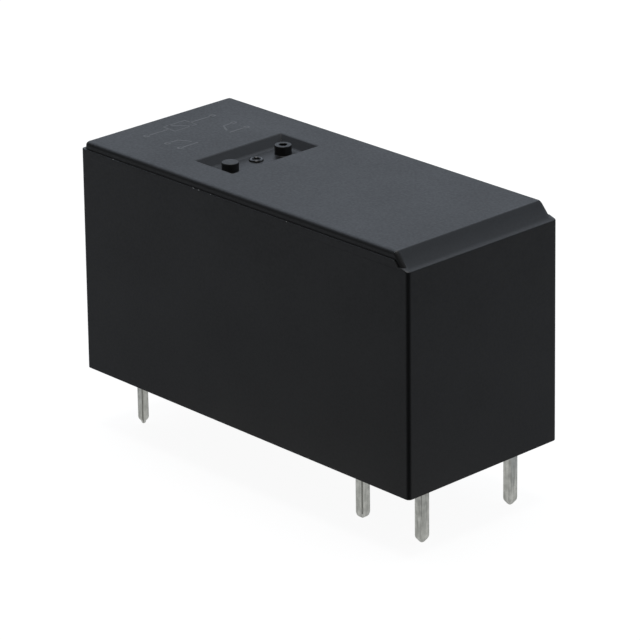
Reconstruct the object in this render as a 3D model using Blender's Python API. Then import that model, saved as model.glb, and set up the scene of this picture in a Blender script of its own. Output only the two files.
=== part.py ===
"""Low-profile power relay for a printed circuit board, with two make contacts.

Units are metres, +Z up. The relay stands as it would on a board: +X runs along it from the coil end to
the contact end, "near" is the -Y side and "far" the +Y side. The origin is under the middle of the
cover, level with the tips of the pins.
"""
import math

import bmesh
import bpy
from mathutils import Matrix, Vector

MM = 0.001

# Cover: one moulded shell, open below
COVER_LENGTH = 28.8 * MM
COVER_WIDTH = 12.5 * MM
COVER_HEIGHT = 15.1 * MM
COVER_WALL = 0.8 * MM
COVER_ROOF = 0.9 * MM
COVER_DRAFT = 0.08 * MM
CORNER_RADIUS = 0.25 * MM

# The mould parts along a step just under the roof, which follows the big chamfer at the contact end
BAND_HEIGHT = 0.48 * MM
BAND_STEP = 0.1 * MM
COIL_END_STEP = 0.19 * MM
CHAMFER_LENGTH = 0.85 * MM
CHAMFER_DEPTH = 0.95 * MM
CHAMFER_LEDGE = 0.3 * MM
ROOF_EDGE_RADIUS = 0.2 * MM

# Recess in the roof, with sloping walls, a solid nib and a hollow vent nib
RECESS_START = 7.83 * MM
RECESS_LENGTH = 3.38 * MM
RECESS_FROM_SIDE = 2.68 * MM
RECESS_WALL_RUN = 0.55 * MM
RECESS_EDGE_RADIUS = 0.2 * MM
NIB_DIAMETER = 1.1 * MM
NIB_FROM_RECESS_SIDE = 1.4 * MM
NIB_DOME = 0.06 * MM
VENT_DIAMETER = 0.5 * MM

# Pins: the board's grid comes out as 20 mm and 5 mm between the rows and 7.5 mm across
COIL_ROW_FROM_END = 2.36 * MM
FIXED_ROW_FROM_END = 1.44 * MM
MOVING_TO_FIXED_ROW = 5.0 * MM
PINS_FROM_SIDE = 2.5 * MM
COIL_PIN_THICKNESS = 0.5 * MM
COIL_PIN_WIDTH = 0.55 * MM
CONTACT_PIN_THICKNESS = 0.6 * MM
CONTACT_PIN_WIDTH = 0.7 * MM
PIN_BELOW_BOARD = 3.6 * MM
COIL_PIN_TAPER = 0.5 * MM
COIL_PIN_TIP = 0.18 * MM
CONTACT_PIN_TAPER = 0.38 * MM
CONTACT_PIN_TIP = 0.2 * MM
PIN_EDGE = 0.07 * MM

# Base, feet and potting
STANDOFF = 0.3 * MM
FOOT_LENGTH = 1.6 * MM
FOOT_WIDTH = 0.9 * MM
FOOT_INSET = 0.3 * MM
COIL_FEET_FROM_ROW = 2.7 * MM
RESIN_SETBACK = 0.1 * MM
RESIN_THICKNESS = 0.4 * MM
RESIN_GAP = 0.02 * MM
BASE_THICKNESS = 0.85 * MM
YOKE_PAD_WIDTH = 1.2 * MM

# Shares of the cover's height, so that a lower relay also gets thinner parts above and below its coil
RECESS_DEPTH_SHARE = 0.04
RECESS_FLOOR_SHARE = 0.06
YOKE_SHARE = 0.079
CARD_SHARE = 0.066

# Shares of the room between the bobbin's flange edges, from its middle out
WINDING_SHARE = 0.91
TUBE_SHARE = 0.515
CORE_SHARE = 0.37

# Clearances
FIT_GAP = 0.05 * MM
SLIDE_GAP = 0.1 * MM
RIVET_GAP = 0.03 * MM

# Magnet: yoke, core, armature and its spring
STRIP_THICKNESS = 0.2 * MM
STRIP_WIDTH = 3.2 * MM
STRIP_LENGTH = 5.6 * MM
STRIP_RISE = 3.4 * MM
YOKE_FROM_WALL = 1.16 * MM
YOKE_TO_CARD = 0.55 * MM
YOKE_BEND = 0.5 * MM
TONGUE_WIDTH = 2.4 * MM
ARMATURE_THICKNESS = 1.1 * MM
ARMATURE_FROM_WALL = 1.46 * MM
FOOT_TO_LUG = 0.5 * MM
ARMATURE_BACK_CLEARANCE = 0.2 * MM
WING_CORNER = 1.0 * MM
POLE_OVERHANG = 1.15 * MM
POLE_THICKNESS = 0.8 * MM
CORE_TAIL_STEP = 0.45 * MM
CORE_RIVET_OVERHANG = 0.25 * MM
CORE_RIVET_HEIGHT = 0.25 * MM

# Coil: bobbin and winding
FLANGE_THICKNESS = 0.7 * MM
FLANGE_SIDE_CLEARANCE = 0.5 * MM
WINDING_SHOULDER = 0.2 * MM
WINDING_TO_LEAD = 0.4 * MM
LUG_HEIGHT = 3.3 * MM
LUG_MARGIN = 0.5 * MM
PIN_TO_LUG_SIDE = 0.75 * MM
PIN_STUB = 0.7 * MM
WIRE_WRAP_HEIGHT = 0.5 * MM
LEAD_DIAMETER = 0.2 * MM
GUIDE_HEIGHT = 0.6 * MM
GUIDE_WIDTH = 0.5 * MM

# Card: the slider over the coil, and how far the armature drives it
CARD_HEADROOM = 0.587 * MM
CARD_BAR_WIDTH = 4.4 * MM
CARD_HEAD_LENGTH = 2.4 * MM
CARD_PRONG_LENGTH = 0.8 * MM
CARD_STROKE = 0.8 * MM
TIP_OVERHANG = 0.15 * MM

# Contacts
SPRING_THICKNESS = 0.25 * MM
SPRING_WIDTH = 2.6 * MM
SPRING_TIP_WIDTH = 1.2 * MM
SPRING_TIP_LENGTH = 2.0 * MM
PLATE_HEIGHT = 2.9 * MM
PIP_DIAMETER = 0.7 * MM
PIP_SPACING = 1.2 * MM
PIP_HEAD = 0.2 * MM
CONTACT_BELOW_CARD = 2.6 * MM
CONTACT_HEAD_DIAMETER = 2.4 * MM
CONTACT_HEAD_THICKNESS = 0.8 * MM
CONTACT_CROWN = 0.2 * MM
RIVET_SHANK_DIAMETER = 1.2 * MM
RIVET_TAIL_DIAMETER = 1.8 * MM
RIVET_TAIL_HEIGHT = 0.25 * MM
FIXED_LEG_WIDTH = 2.6 * MM
FIXED_LEG_ABOVE_CONTACT = 1.6 * MM
PARTITION_THICKNESS = 0.8 * MM
PARTITION_TO_SPRING = 2.6 * MM
BARRIER_THICKNESS = 0.8 * MM
STOP_WIDTH = 0.8 * MM
STOP_HEIGHT = 0.6 * MM
EDGE_BREAK = 0.1 * MM

# Sections and ends of the pins, and the thicknesses that follow the cover's height
COIL_PIN_SECTION = (COIL_PIN_THICKNESS, COIL_PIN_WIDTH)
CONTACT_PIN_SECTION = (CONTACT_PIN_THICKNESS, CONTACT_PIN_WIDTH)
COIL_PIN_END = (COIL_PIN_TAPER, COIL_PIN_TIP)
CONTACT_PIN_END = (CONTACT_PIN_TAPER, CONTACT_PIN_TIP)
RECESS_DEPTH = COVER_HEIGHT * RECESS_DEPTH_SHARE
RECESS_FLOOR = COVER_HEIGHT * RECESS_FLOOR_SHARE
YOKE_THICKNESS = COVER_HEIGHT * YOKE_SHARE
CARD_THICKNESS = COVER_HEIGHT * CARD_SHARE

# Levels above the pin tips
BOARD_Z = PIN_BELOW_BOARD
RIM_Z = BOARD_Z + STANDOFF
ROOF_Z = RIM_Z + COVER_HEIGHT
BAND_Z = ROOF_Z - BAND_HEIGHT
CAVITY_Z = ROOF_Z - COVER_ROOF
RESIN_Z = RIM_Z + RESIN_SETBACK
BASE_Z = RESIN_Z + RESIN_THICKNESS + FIT_GAP
BASE_TOP_Z = BASE_Z + BASE_THICKNESS
STRIP_Z = BASE_TOP_Z + SLIDE_GAP
YOKE_Z = STRIP_Z + STRIP_THICKNESS + FIT_GAP
YOKE_TOP_Z = YOKE_Z + YOKE_THICKNESS
POCKET_Z = ROOF_Z - RECESS_DEPTH - RECESS_FLOOR
CARD_TOP_Z = POCKET_Z - CARD_HEADROOM
CARD_Z = CARD_TOP_Z - CARD_THICKNESS
CARD_MIDDLE_Z = CARD_Z + CARD_THICKNESS / 2
FLANGE_Z = YOKE_TOP_Z + SLIDE_GAP
FLANGE_TOP_Z = CARD_Z - SLIDE_GAP
COIL_AXIS_Z = (FLANGE_Z + FLANGE_TOP_Z) / 2
PLATE_TOP_Z = BASE_TOP_Z + PLATE_HEIGHT
CONTACT_Z = CARD_Z - CONTACT_BELOW_CARD
TIP_Z = CARD_TOP_Z + TIP_OVERHANG

# Places along the relay
COIL_END_X = -COVER_LENGTH / 2
CONTACT_END_X = COVER_LENGTH / 2
COIL_ROW_X = COIL_END_X + COIL_ROW_FROM_END
FIXED_ROW_X = CONTACT_END_X - FIXED_ROW_FROM_END
MOVING_ROW_X = FIXED_ROW_X - MOVING_TO_FIXED_ROW
CAVITY_X = COIL_END_X + COVER_WALL + COVER_DRAFT
ARMATURE_FACE_X = CAVITY_X + ARMATURE_BACK_CLEARANCE + CARD_STROKE + ARMATURE_THICKNESS
POLE_X = ARMATURE_FACE_X + FIT_GAP
COIL_FLANGE_X = POLE_X + POLE_THICKNESS + FIT_GAP
SPRING_FACE_X = MOVING_ROW_X - CONTACT_PIN_THICKNESS / 2 - FIT_GAP
SPRING_BACK_X = SPRING_FACE_X - SPRING_THICKNESS
SPRING_MIDDLE_X = SPRING_FACE_X - SPRING_THICKNESS / 2
PARTITION_X = SPRING_BACK_X - PARTITION_TO_SPRING - PARTITION_THICKNESS
YOKE_LEG_X = PARTITION_X - SLIDE_GAP - CORE_RIVET_HEIGHT - YOKE_THICKNESS
INNER_FLANGE_X = YOKE_LEG_X - FIT_GAP - FLANGE_THICKNESS
NIB_X = COIL_END_X + RECESS_START + RECESS_LENGTH / 2

# Motion: the armature tips on the end of the yoke, the springs bend above their terminal plates
HINGE_Z = YOKE_Z + FIT_GAP
ARMATURE_SWING = math.atan(CARD_STROKE / (CARD_MIDDLE_Z - HINGE_Z))
ROOT_Z = PLATE_TOP_Z + FIT_GAP
SPRING_SWING = math.atan(CARD_STROKE / (CARD_MIDDLE_Z - ROOT_Z))
CROWN_TRAVEL = (CONTACT_Z - ROOT_Z) * math.tan(SPRING_SWING)
MOVING_FACE_X = SPRING_FACE_X + RIVET_GAP + CONTACT_HEAD_THICKNESS
FIXED_FACE_X = MOVING_FACE_X + CROWN_TRAVEL + FIT_GAP
FIXED_LEG_X = FIXED_FACE_X + CONTACT_HEAD_THICKNESS + RIVET_GAP

# Half widths, and the holes for the contact rivets
RECESS_Y = COVER_WIDTH / 2 - RECESS_FROM_SIDE
NIB_Y = RECESS_Y - NIB_FROM_RECESS_SIDE
CAVITY_Y = COVER_WIDTH / 2 - COVER_WALL - COVER_DRAFT
POLE_Y = COVER_WIDTH / 2 - PINS_FROM_SIDE
FLANGE_Y = CAVITY_Y - FLANGE_SIDE_CLEARANCE
YOKE_Y = CAVITY_Y - YOKE_FROM_WALL
ARMATURE_Y = CAVITY_Y - ARMATURE_FROM_WALL
LUG_Y = POLE_Y - PIN_TO_LUG_SIDE
ARMATURE_FOOT_Y = LUG_Y - FOOT_TO_LUG
RIVET_HOLE_RADIUS = RIVET_SHANK_DIAMETER / 2 + RIVET_GAP

# Coil: round parts on one axis; each lead meets the winding level with its pin's wrap
COIL_ROOM = min((FLANGE_TOP_Z - FLANGE_Z) / 2, FLANGE_Y)
WINDING_RADIUS = COIL_ROOM * WINDING_SHARE
TUBE_RADIUS = COIL_ROOM * TUBE_SHARE
CORE_RADIUS = COIL_ROOM * CORE_SHARE
CORE_TAIL_RADIUS = CORE_RADIUS - CORE_TAIL_STEP
LUG_Z = BASE_TOP_Z + FIT_GAP
WRAP_Z = LUG_Z + LUG_HEIGHT + FIT_GAP
WRAP_TOP_Z = WRAP_Z + WIRE_WRAP_HEIGHT
LEAD_Z = WRAP_Z + WIRE_WRAP_HEIGHT / 2
LEAD_Y = math.sqrt((WINDING_RADIUS - LEAD_DIAMETER) ** 2 - (COIL_AXIS_Z - LEAD_Z) ** 2)

ROUND_STEPS = 32
CORNER_STEPS = 5
CROWN_STEPS = 3
LEAD_STEPS = 8
NEAR = -1
FAR = 1


def clear_scene():
    for item in list(bpy.data.objects):
        bpy.data.objects.remove(item, do_unlink=True)


def finish(item, colour, roughness, metallic):
    """Gives a piece its own material: a linear colour, a roughness and a metallic value."""
    material = bpy.data.materials.new(item.name)
    material.use_nodes = True
    shader = material.node_tree.nodes["Principled BSDF"]
    shader.inputs["Base Color"].default_value = (*colour, 1.0)
    shader.inputs["Roughness"].default_value = roughness
    shader.inputs["Metallic"].default_value = metallic
    item.data.materials.clear()
    item.data.materials.append(material)
    return item


def new_object(name, shape):
    """Turns a closed bmesh into a linked object with its faces pointing out."""
    bmesh.ops.recalc_face_normals(shape, faces=shape.faces)
    mesh = bpy.data.meshes.new(name)
    shape.to_mesh(mesh)
    shape.free()
    item = bpy.data.objects.new(name, mesh)
    bpy.context.collection.objects.link(item)
    return item


def apply_modifiers(item):
    bpy.context.view_layer.update()
    evaluated = item.evaluated_get(bpy.context.evaluated_depsgraph_get())
    mesh = bpy.data.meshes.new_from_object(evaluated)
    item.modifiers.clear()
    item.data = mesh


def combine(item, tool, operation):
    """Joins or cuts a piece with a tool body, which is used up."""
    change = item.modifiers.new(operation.title(), "BOOLEAN")
    change.operation = operation
    change.object = tool
    apply_modifiers(item)
    bpy.data.objects.remove(tool, do_unlink=True)


def join(item, *tools):
    for tool in tools:
        combine(item, tool, "UNION")


def cut(item, *tools):
    for tool in tools:
        combine(item, tool, "DIFFERENCE")


def soften(item, width, segments=2):
    """Breaks the sharp edges of a piece by a small bevel."""
    bevel = item.modifiers.new("Edge break", "BEVEL")
    bevel.width = width
    bevel.segments = segments
    bevel.limit_method = "ANGLE"
    bevel.angle_limit = math.radians(40)
    apply_modifiers(item)


def extrude(name, outline, axis, low, high):
    """Sweeps a flat outline straight along X, Y or Z. The outline holds its two other coordinates."""
    place = {
        "X": lambda a, b: (low, a, b),
        "Y": lambda a, b: (a, low, b),
        "Z": lambda a, b: (a, b, low),
    }[axis]
    direction = Vector([float(axis == letter) for letter in "XYZ"])
    shape = bmesh.new()
    face = shape.faces.new([shape.verts.new(place(a, b)) for a, b in outline])
    swept = bmesh.ops.extrude_face_region(shape, geom=[face])
    moved = [part for part in swept["geom"] if isinstance(part, bmesh.types.BMVert)]
    bmesh.ops.translate(shape, verts=moved, vec=direction * (high - low))
    return new_object(name, shape)


def block(name, x, y, z):
    """A plain block from its low and high coordinate along each axis."""
    return extrude(name, [(x[0], y[0]), (x[1], y[0]), (x[1], y[1]), (x[0], y[1])], "Z", *z)


def rectangle(centre, half, radius):
    """Outline of a rectangle with round corners, counter-clockwise."""
    points = []
    for turn, (side_a, side_b) in enumerate([(1, 1), (-1, 1), (-1, -1), (1, -1)]):
        for step in range(CORNER_STEPS + 1):
            angle = math.pi / 2 * (turn + step / CORNER_STEPS)
            points.append((
                centre[0] + side_a * (half[0] - radius) + radius * math.cos(angle),
                centre[1] + side_b * (half[1] - radius) + radius * math.sin(angle),
            ))
    return points


def loft(name, sections):
    """Skins a closed body through rings of points that all have the same count."""
    shape = bmesh.new()
    rings = [[shape.verts.new(point) for point in section] for section in sections]
    for lower, upper in zip(rings, rings[1:]):
        for here, there in zip(range(len(lower)), range(1, len(lower) + 1)):
            there %= len(lower)
            shape.faces.new([lower[here], lower[there], upper[there], upper[here]])
    shape.faces.new(rings[0])
    shape.faces.new(rings[-1])
    return new_object(name, shape)


def turn(name, profile, centre, axis):
    """Spins a profile of (distance along the axis, radius) points about X or Z through the centre."""
    along = Vector((1, 0, 0)) if axis == "X" else Vector((0, 0, 1))
    out = Vector((along.z, 0, along.x))
    shape = bmesh.new()
    points = [shape.verts.new(Vector(centre) + along * run + out * radius) for run, radius in profile]
    edges = [shape.edges.new(pair) for pair in zip(points, points[1:])]
    bmesh.ops.spin(
        shape, geom=points + edges, cent=centre, axis=along,
        angle=math.tau, steps=ROUND_STEPS, use_merge=True,
    )
    bmesh.ops.remove_doubles(shape, verts=shape.verts, dist=0.001 * MM)
    bmesh.ops.dissolve_degenerate(shape, dist=0.001 * MM, edges=shape.edges)
    return new_object(name, shape)


def rod(name, centre, axis, radius, low, high):
    """A plain round bar along X or Z."""
    return turn(name, [(low, 0), (low, radius), (high, radius), (high, 0)], centre, axis)


def quarter_round():
    """Points of a quarter circle as (share of its depth, share of its radius), from the crown out."""
    angles = [math.pi / 2 * step / CROWN_STEPS for step in range(CROWN_STEPS + 1)]
    return [(1 - math.cos(angle), math.sin(angle)) for angle in angles]


def set_origin(item, place):
    """Moves a piece's origin to its joint without moving the piece."""
    item.data.transform(Matrix.Translation(-place))
    item.location = place


def smooth(item):
    """Shades the round faces smooth and keeps the sharp edges sharp."""
    item.data.shade_smooth()
    item.data.set_sharp_from_angle(angle=math.radians(35))
    return item


def bent_strip(path, thickness, bend):
    """Outline, in X and Z, of a strip of even thickness laid along a path, with its bends rounded."""
    middle = [Vector(path[0])]
    for before, corner, after in zip(path, path[1:], path[2:]):
        corner = Vector(corner)
        back = (Vector(before) - corner).normalized()
        ahead = (Vector(after) - corner).normalized()
        for step in range(CORNER_STEPS + 1):
            share = step / CORNER_STEPS
            middle.append(corner + back * bend * (1 - share) ** 2 + ahead * bend * share ** 2)
    middle.append(Vector(path[-1]))
    left, right = [], []
    for index, point in enumerate(middle):
        run = (middle[min(index + 1, len(middle) - 1)] - middle[max(index - 1, 0)]).normalized()
        side = Vector((-run.y, run.x)) * thickness / 2
        left.append(tuple(point + side))
        right.append(tuple(point - side))
    return left + right[::-1]


def chamfer_tool(name, foot_x, foot_z, reach):
    """A wedge that takes away what lies above a ledge and above the slope that rises from its inner end."""
    slope = CHAMFER_LENGTH / CHAMFER_DEPTH
    outline = [
        (foot_x, foot_z),
        (CONTACT_END_X + reach, foot_z),
        (CONTACT_END_X + reach, foot_z + reach),
        (foot_x - slope * reach, foot_z + reach),
    ]
    return extrude(name, outline, "Y", -COVER_WIDTH, COVER_WIDTH)


def cover_ring(z, inset, coil_inset=None, contact_inset=None):
    """Ring of the cover's outline at a level, pushed in from the outline at the rim."""
    low = COIL_END_X + (inset if coil_inset is None else coil_inset)
    high = CONTACT_END_X - (inset if contact_inset is None else contact_inset)
    centre = ((low + high) / 2, 0)
    half = ((high - low) / 2, COVER_WIDTH / 2 - inset)
    return [(x, y, z) for x, y in rectangle(centre, half, CORNER_RADIUS)]


def recess_half(inset):
    """Half length and half width of the recess, pushed in from its outline at the roof."""
    return (RECESS_LENGTH / 2 - inset, RECESS_Y - inset)


def recess_tool():
    """What the recess takes out of the roof: sloping walls that round over into the roof at the top."""
    turned = math.atan2(RECESS_DEPTH, RECESS_WALL_RUN)
    start = -RECESS_EDGE_RADIUS * math.tan(turned / 2)
    profile = [(RECESS_WALL_RUN, -RECESS_DEPTH)]
    for step in range(CROWN_STEPS, -1, -1):
        angle = turned * step / CROWN_STEPS
        drop = RECESS_EDGE_RADIUS * (1 - math.cos(angle))
        profile.append((start + RECESS_EDGE_RADIUS * math.sin(angle), -drop))
    profile.append((start, COVER_ROOF))
    return loft("recess", [
        [(x, y, ROOF_Z + rise) for x, y in rectangle((NIB_X, 0), recess_half(inset), CORNER_RADIUS)]
        for inset, rise in profile
    ])


def build_cover():
    """The shell: a drafted lower body, the stepped band and roof above it, the cavity and the recess."""
    reach = 4 * CHAMFER_DEPTH
    ledge_z = ROOF_Z - CHAMFER_DEPTH
    ledge_x = CONTACT_END_X - COVER_DRAFT - CHAMFER_LEDGE
    chamfer_top_x = ledge_x - CHAMFER_LENGTH
    band_drop = ledge_z - (ROOF_Z - BAND_HEIGHT)
    band_foot_x = chamfer_top_x - band_drop * CHAMFER_LENGTH / CHAMFER_DEPTH

    cover = loft("cover", [cover_ring(RIM_Z, 0), cover_ring(BAND_Z, COVER_DRAFT)])
    cut(cover, chamfer_tool("lower chamfer", band_foot_x, ledge_z, reach))

    inset = COVER_DRAFT + BAND_STEP
    rings = [
        cover_ring(level, inset, COVER_DRAFT + COIL_END_STEP, COVER_DRAFT + BAND_STEP)
        for level in (ledge_z - BAND_HEIGHT, ROOF_Z)
    ]
    upper = loft("upper", rings)
    hidden_foot = (ledge_x + CHAMFER_LENGTH, ledge_z - CHAMFER_DEPTH)
    cut(upper, chamfer_tool("upper chamfer", *hidden_foot, reach))
    soften(upper, ROOF_EDGE_RADIUS, 3)
    join(cover, upper)

    cavity = loft("cavity", [
        cover_ring(RIM_Z - COVER_WALL, COVER_WALL),
        cover_ring(RIM_Z, COVER_WALL),
        cover_ring(CAVITY_Z, COVER_WALL + COVER_DRAFT),
    ])
    cut(cavity, chamfer_tool("inner chamfer", ledge_x - COVER_WALL, ledge_z - COVER_ROOF / 2, reach))
    pocket = rectangle((NIB_X, 0), recess_half(RECESS_WALL_RUN - RECESS_FLOOR), CORNER_RADIUS)
    cut(cavity, extrude("pocket", pocket, "Z", POCKET_Z, ROOF_Z))
    cut(cover, cavity)

    cut(cover, recess_tool())
    radius = NIB_DIAMETER / 2
    root_z = ROOF_Z - RECESS_DEPTH - RECESS_FLOOR / 2
    dome = [(ROOF_Z - NIB_DOME * deep, radius * wide) for deep, wide in quarter_round()]
    solid_nib = [(root_z, 0), (root_z, radius), *dome[::-1]]
    vent_place = (NIB_X, FAR * NIB_Y, 0)
    bore_z = (POCKET_Z - COVER_ROOF, ROOF_Z + COVER_ROOF)
    join(cover, turn("solid nib", solid_nib, (NIB_X, NEAR * NIB_Y, 0), "Z"))
    join(cover, rod("vent nib", vent_place, "Z", radius, root_z, ROOF_Z))
    cut(cover, rod("vent", vent_place, "Z", VENT_DIAMETER / 2, *bore_z))
    return finish(smooth(cover), (0.017, 0.018, 0.019), 0.42, 0.0)


def pin_section(x, y, z, thickness, width, scale=1.0):
    """Cross-section of a pin with its four edges broken."""
    edge = PIN_EDGE * scale
    half = (thickness / 2 * scale, width / 2 * scale)
    corners = []
    for side_x, side_y, first_x in [(1, 1, True), (-1, 1, False), (-1, -1, True), (1, -1, False)]:
        along = (side_x * half[0], side_y * (half[1] - edge))
        across = (side_x * (half[0] - edge), side_y * half[1])
        corners += [along, across] if first_x else [across, along]
    return [(x + a, y + b, z) for a, b in corners]


def pin(name, x, y, top_z, section, end, rounded):
    """A stamped pin standing on z = 0, its end tapered straight or in a round."""
    thickness, width = section
    taper, tip_thickness = end
    tip = tip_thickness / thickness
    shares = quarter_round() if rounded else [(0, 0), (1, 1)]
    steps = [(taper * deep, tip + (1 - tip) * wide) for deep, wide in shares]
    sections = [pin_section(x, y, z, thickness, width, scale) for z, scale in steps]
    sections.append(pin_section(x, y, top_z, thickness, width))
    return loft(name, sections)


def pin_slot(x, y, thickness, width, gap, low, high):
    """A straight hole for a pin, wider than its section by a gap all round."""
    half = (thickness / 2 + gap, width / 2 + gap)
    return block("slot", (x - half[0], x + half[0]), (y - half[1], y + half[1]), (low, high))


def pin_places():
    """Each pin's place and section: x, y, thickness along X, width along Y."""
    places = []
    for side in (NEAR, FAR):
        places.append((COIL_ROW_X, side * POLE_Y, *COIL_PIN_SECTION))
        places.append((MOVING_ROW_X, side * POLE_Y, *CONTACT_PIN_SECTION))
        places.append((FIXED_ROW_X, side * POLE_Y, *CONTACT_PIN_SECTION))
    return places


def foot_places():
    """Low and high coordinates of each stand-off foot, as (x pair, y pair)."""
    places = []
    outer = COVER_WIDTH / 2 - COVER_WALL - FOOT_INSET
    for middle in (COIL_ROW_X + COIL_FEET_FROM_ROW, (MOVING_ROW_X + FIXED_ROW_X) / 2):
        for side in (NEAR, FAR):
            foot_x = (middle - FOOT_LENGTH / 2, middle + FOOT_LENGTH / 2)
            places.append((foot_x, span(side, outer - FOOT_WIDTH, outer)))
    return places


def plate_outline(gap):
    """Outline of a plate that fills the mouth of the cover, short of its walls by a gap."""
    half = (COVER_LENGTH / 2 - COVER_WALL - COVER_DRAFT - gap, CAVITY_Y - gap)
    return rectangle((0, 0), half, CORNER_RADIUS)


def build_base():
    """The moulded plate with its walls, back stops, yoke pads, feet and pin slots."""
    base = extrude("base", plate_outline(FIT_GAP), "Z", BASE_Z, BASE_TOP_Z)
    root_z = BASE_Z + BASE_THICKNESS / 2
    wall_top_z = CARD_Z - SLIDE_GAP
    wall_y = CAVITY_Y - SLIDE_GAP
    partition_face_x = PARTITION_X + PARTITION_THICKNESS
    join(base, block("partition", (PARTITION_X, partition_face_x), (-wall_y, wall_y), (root_z, wall_top_z)))
    half = BARRIER_THICKNESS / 2
    inside_wall = PARTITION_X + PARTITION_THICKNESS / 2
    join(base, block("barrier", (inside_wall, FIXED_ROW_X), (-half, half), (root_z, wall_top_z)))
    for side in (NEAR, FAR):
        middle = side * POLE_Y
        stop_y = (middle - STOP_WIDTH / 2, middle + STOP_WIDTH / 2)
        stop_z = (wall_top_z - 2 * STOP_HEIGHT, wall_top_z - STOP_HEIGHT)
        join(base, block("stop", (inside_wall, SPRING_BACK_X - FIT_GAP), stop_y, stop_z))
        pad_x = (COIL_FLANGE_X + FLANGE_THICKNESS, YOKE_LEG_X)
        pad_y = span(side, YOKE_Y - YOKE_PAD_WIDTH, YOKE_Y)
        join(base, block("yoke pad", pad_x, pad_y, (root_z, YOKE_Z - FIT_GAP)))
    for foot_x, foot_y in foot_places():
        join(base, block("foot", foot_x, foot_y, (BOARD_Z, root_z)))
    for x, y, thickness, width in pin_places():
        cut(base, pin_slot(x, y, thickness, width, FIT_GAP, BOARD_Z, YOKE_TOP_Z))
    return finish(base, (0.02, 0.021, 0.022), 0.5, 0.0)


def build_resin():
    """The potting: a thin slab in the mouth of the cover, round the pins and feet."""
    resin = extrude("sealing_resin", plate_outline(RESIN_GAP), "Z", RESIN_Z, RESIN_Z + RESIN_THICKNESS)
    below = RESIN_Z - RESIN_THICKNESS
    above = RESIN_Z + 2 * RESIN_THICKNESS
    for x, y, thickness, width in pin_places():
        cut(resin, pin_slot(x, y, thickness, width, RESIN_GAP, below, above))
    for foot_x, foot_y in foot_places():
        wide_x = (foot_x[0] - RESIN_GAP, foot_x[1] + RESIN_GAP)
        wide_y = (foot_y[0] - RESIN_GAP, foot_y[1] + RESIN_GAP)
        cut(resin, block("foot hole", wide_x, wide_y, (below, above)))
    return finish(resin, (0.03, 0.03, 0.032), 0.3, 0.0)


def span(side, inner, outer):
    """Low and high Y of a feature that lies between two distances from the middle plane."""
    return (inner, outer) if side == FAR else (-outer, -inner)


def build_bobbin():
    """The coil former: tube, two flanges with card guides, and the lugs that hold the coil pins."""
    flange_outline = rectangle(
        (0, COIL_AXIS_Z), (FLANGE_Y, (FLANGE_TOP_Z - FLANGE_Z) / 2), CORNER_RADIUS,
    )
    inner_face = INNER_FLANGE_X + FLANGE_THICKNESS
    bobbin = extrude("bobbin", flange_outline, "X", COIL_FLANGE_X, COIL_FLANGE_X + FLANGE_THICKNESS)
    join(bobbin, extrude("inner flange", flange_outline, "X", INNER_FLANGE_X, inner_face))
    axis_point = (0, 0, COIL_AXIS_Z)
    tube_ends = (COIL_FLANGE_X + FLANGE_THICKNESS / 2, INNER_FLANGE_X + FLANGE_THICKNESS / 2)
    join(bobbin, rod("tube", axis_point, "X", TUBE_RADIUS, *tube_ends))
    guide_y = CARD_BAR_WIDTH / 2 + SLIDE_GAP
    guide_z = (FLANGE_TOP_Z - GUIDE_HEIGHT, FLANGE_TOP_Z + GUIDE_HEIGHT)
    lug_x = (COIL_ROW_X - LUG_MARGIN, COIL_FLANGE_X + FLANGE_THICKNESS / 2)
    for side in (NEAR, FAR):
        for flange_x in (COIL_FLANGE_X, INNER_FLANGE_X):
            guide_x = (flange_x, flange_x + FLANGE_THICKNESS)
            join(bobbin, block("guide", guide_x, span(side, guide_y, guide_y + GUIDE_WIDTH), guide_z))
        join(bobbin, block("lug", lug_x, span(side, LUG_Y, FLANGE_Y), (LUG_Z, LUG_Z + LUG_HEIGHT)))
    relief = [
        (inner_face - YOKE_BEND, FLANGE_Z),
        (inner_face, FLANGE_Z + YOKE_BEND),
        (inner_face + MM, FLANGE_Z + YOKE_BEND),
        (inner_face + MM, FLANGE_Z - MM),
        (inner_face - YOKE_BEND, FLANGE_Z - MM),
    ]
    cut(bobbin, extrude("bend relief", relief, "Y", -COVER_WIDTH, COVER_WIDTH))
    cut(bobbin, rod("bore", axis_point, "X", CORE_RADIUS + FIT_GAP, COIL_FLANGE_X - MM, inner_face + MM))
    notch_x = (COIL_FLANGE_X - LEAD_DIAMETER, COIL_FLANGE_X + FLANGE_THICKNESS + LEAD_DIAMETER)
    notch_z = (LEAD_Z - LEAD_DIAMETER, LEAD_Z + LEAD_DIAMETER)
    pin_hole_z = (LUG_Z - MM, LUG_Z + LUG_HEIGHT + MM)
    for side in (NEAR, FAR):
        cut(bobbin, pin_slot(COIL_ROW_X, side * POLE_Y, *COIL_PIN_SECTION, FIT_GAP, *pin_hole_z))
        cut(bobbin, block("lead notch", notch_x, span(side, LEAD_Y - LEAD_DIAMETER, COVER_WIDTH), notch_z))
    return finish(bobbin, (0.45, 0.43, 0.38), 0.5, 0.0)


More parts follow.
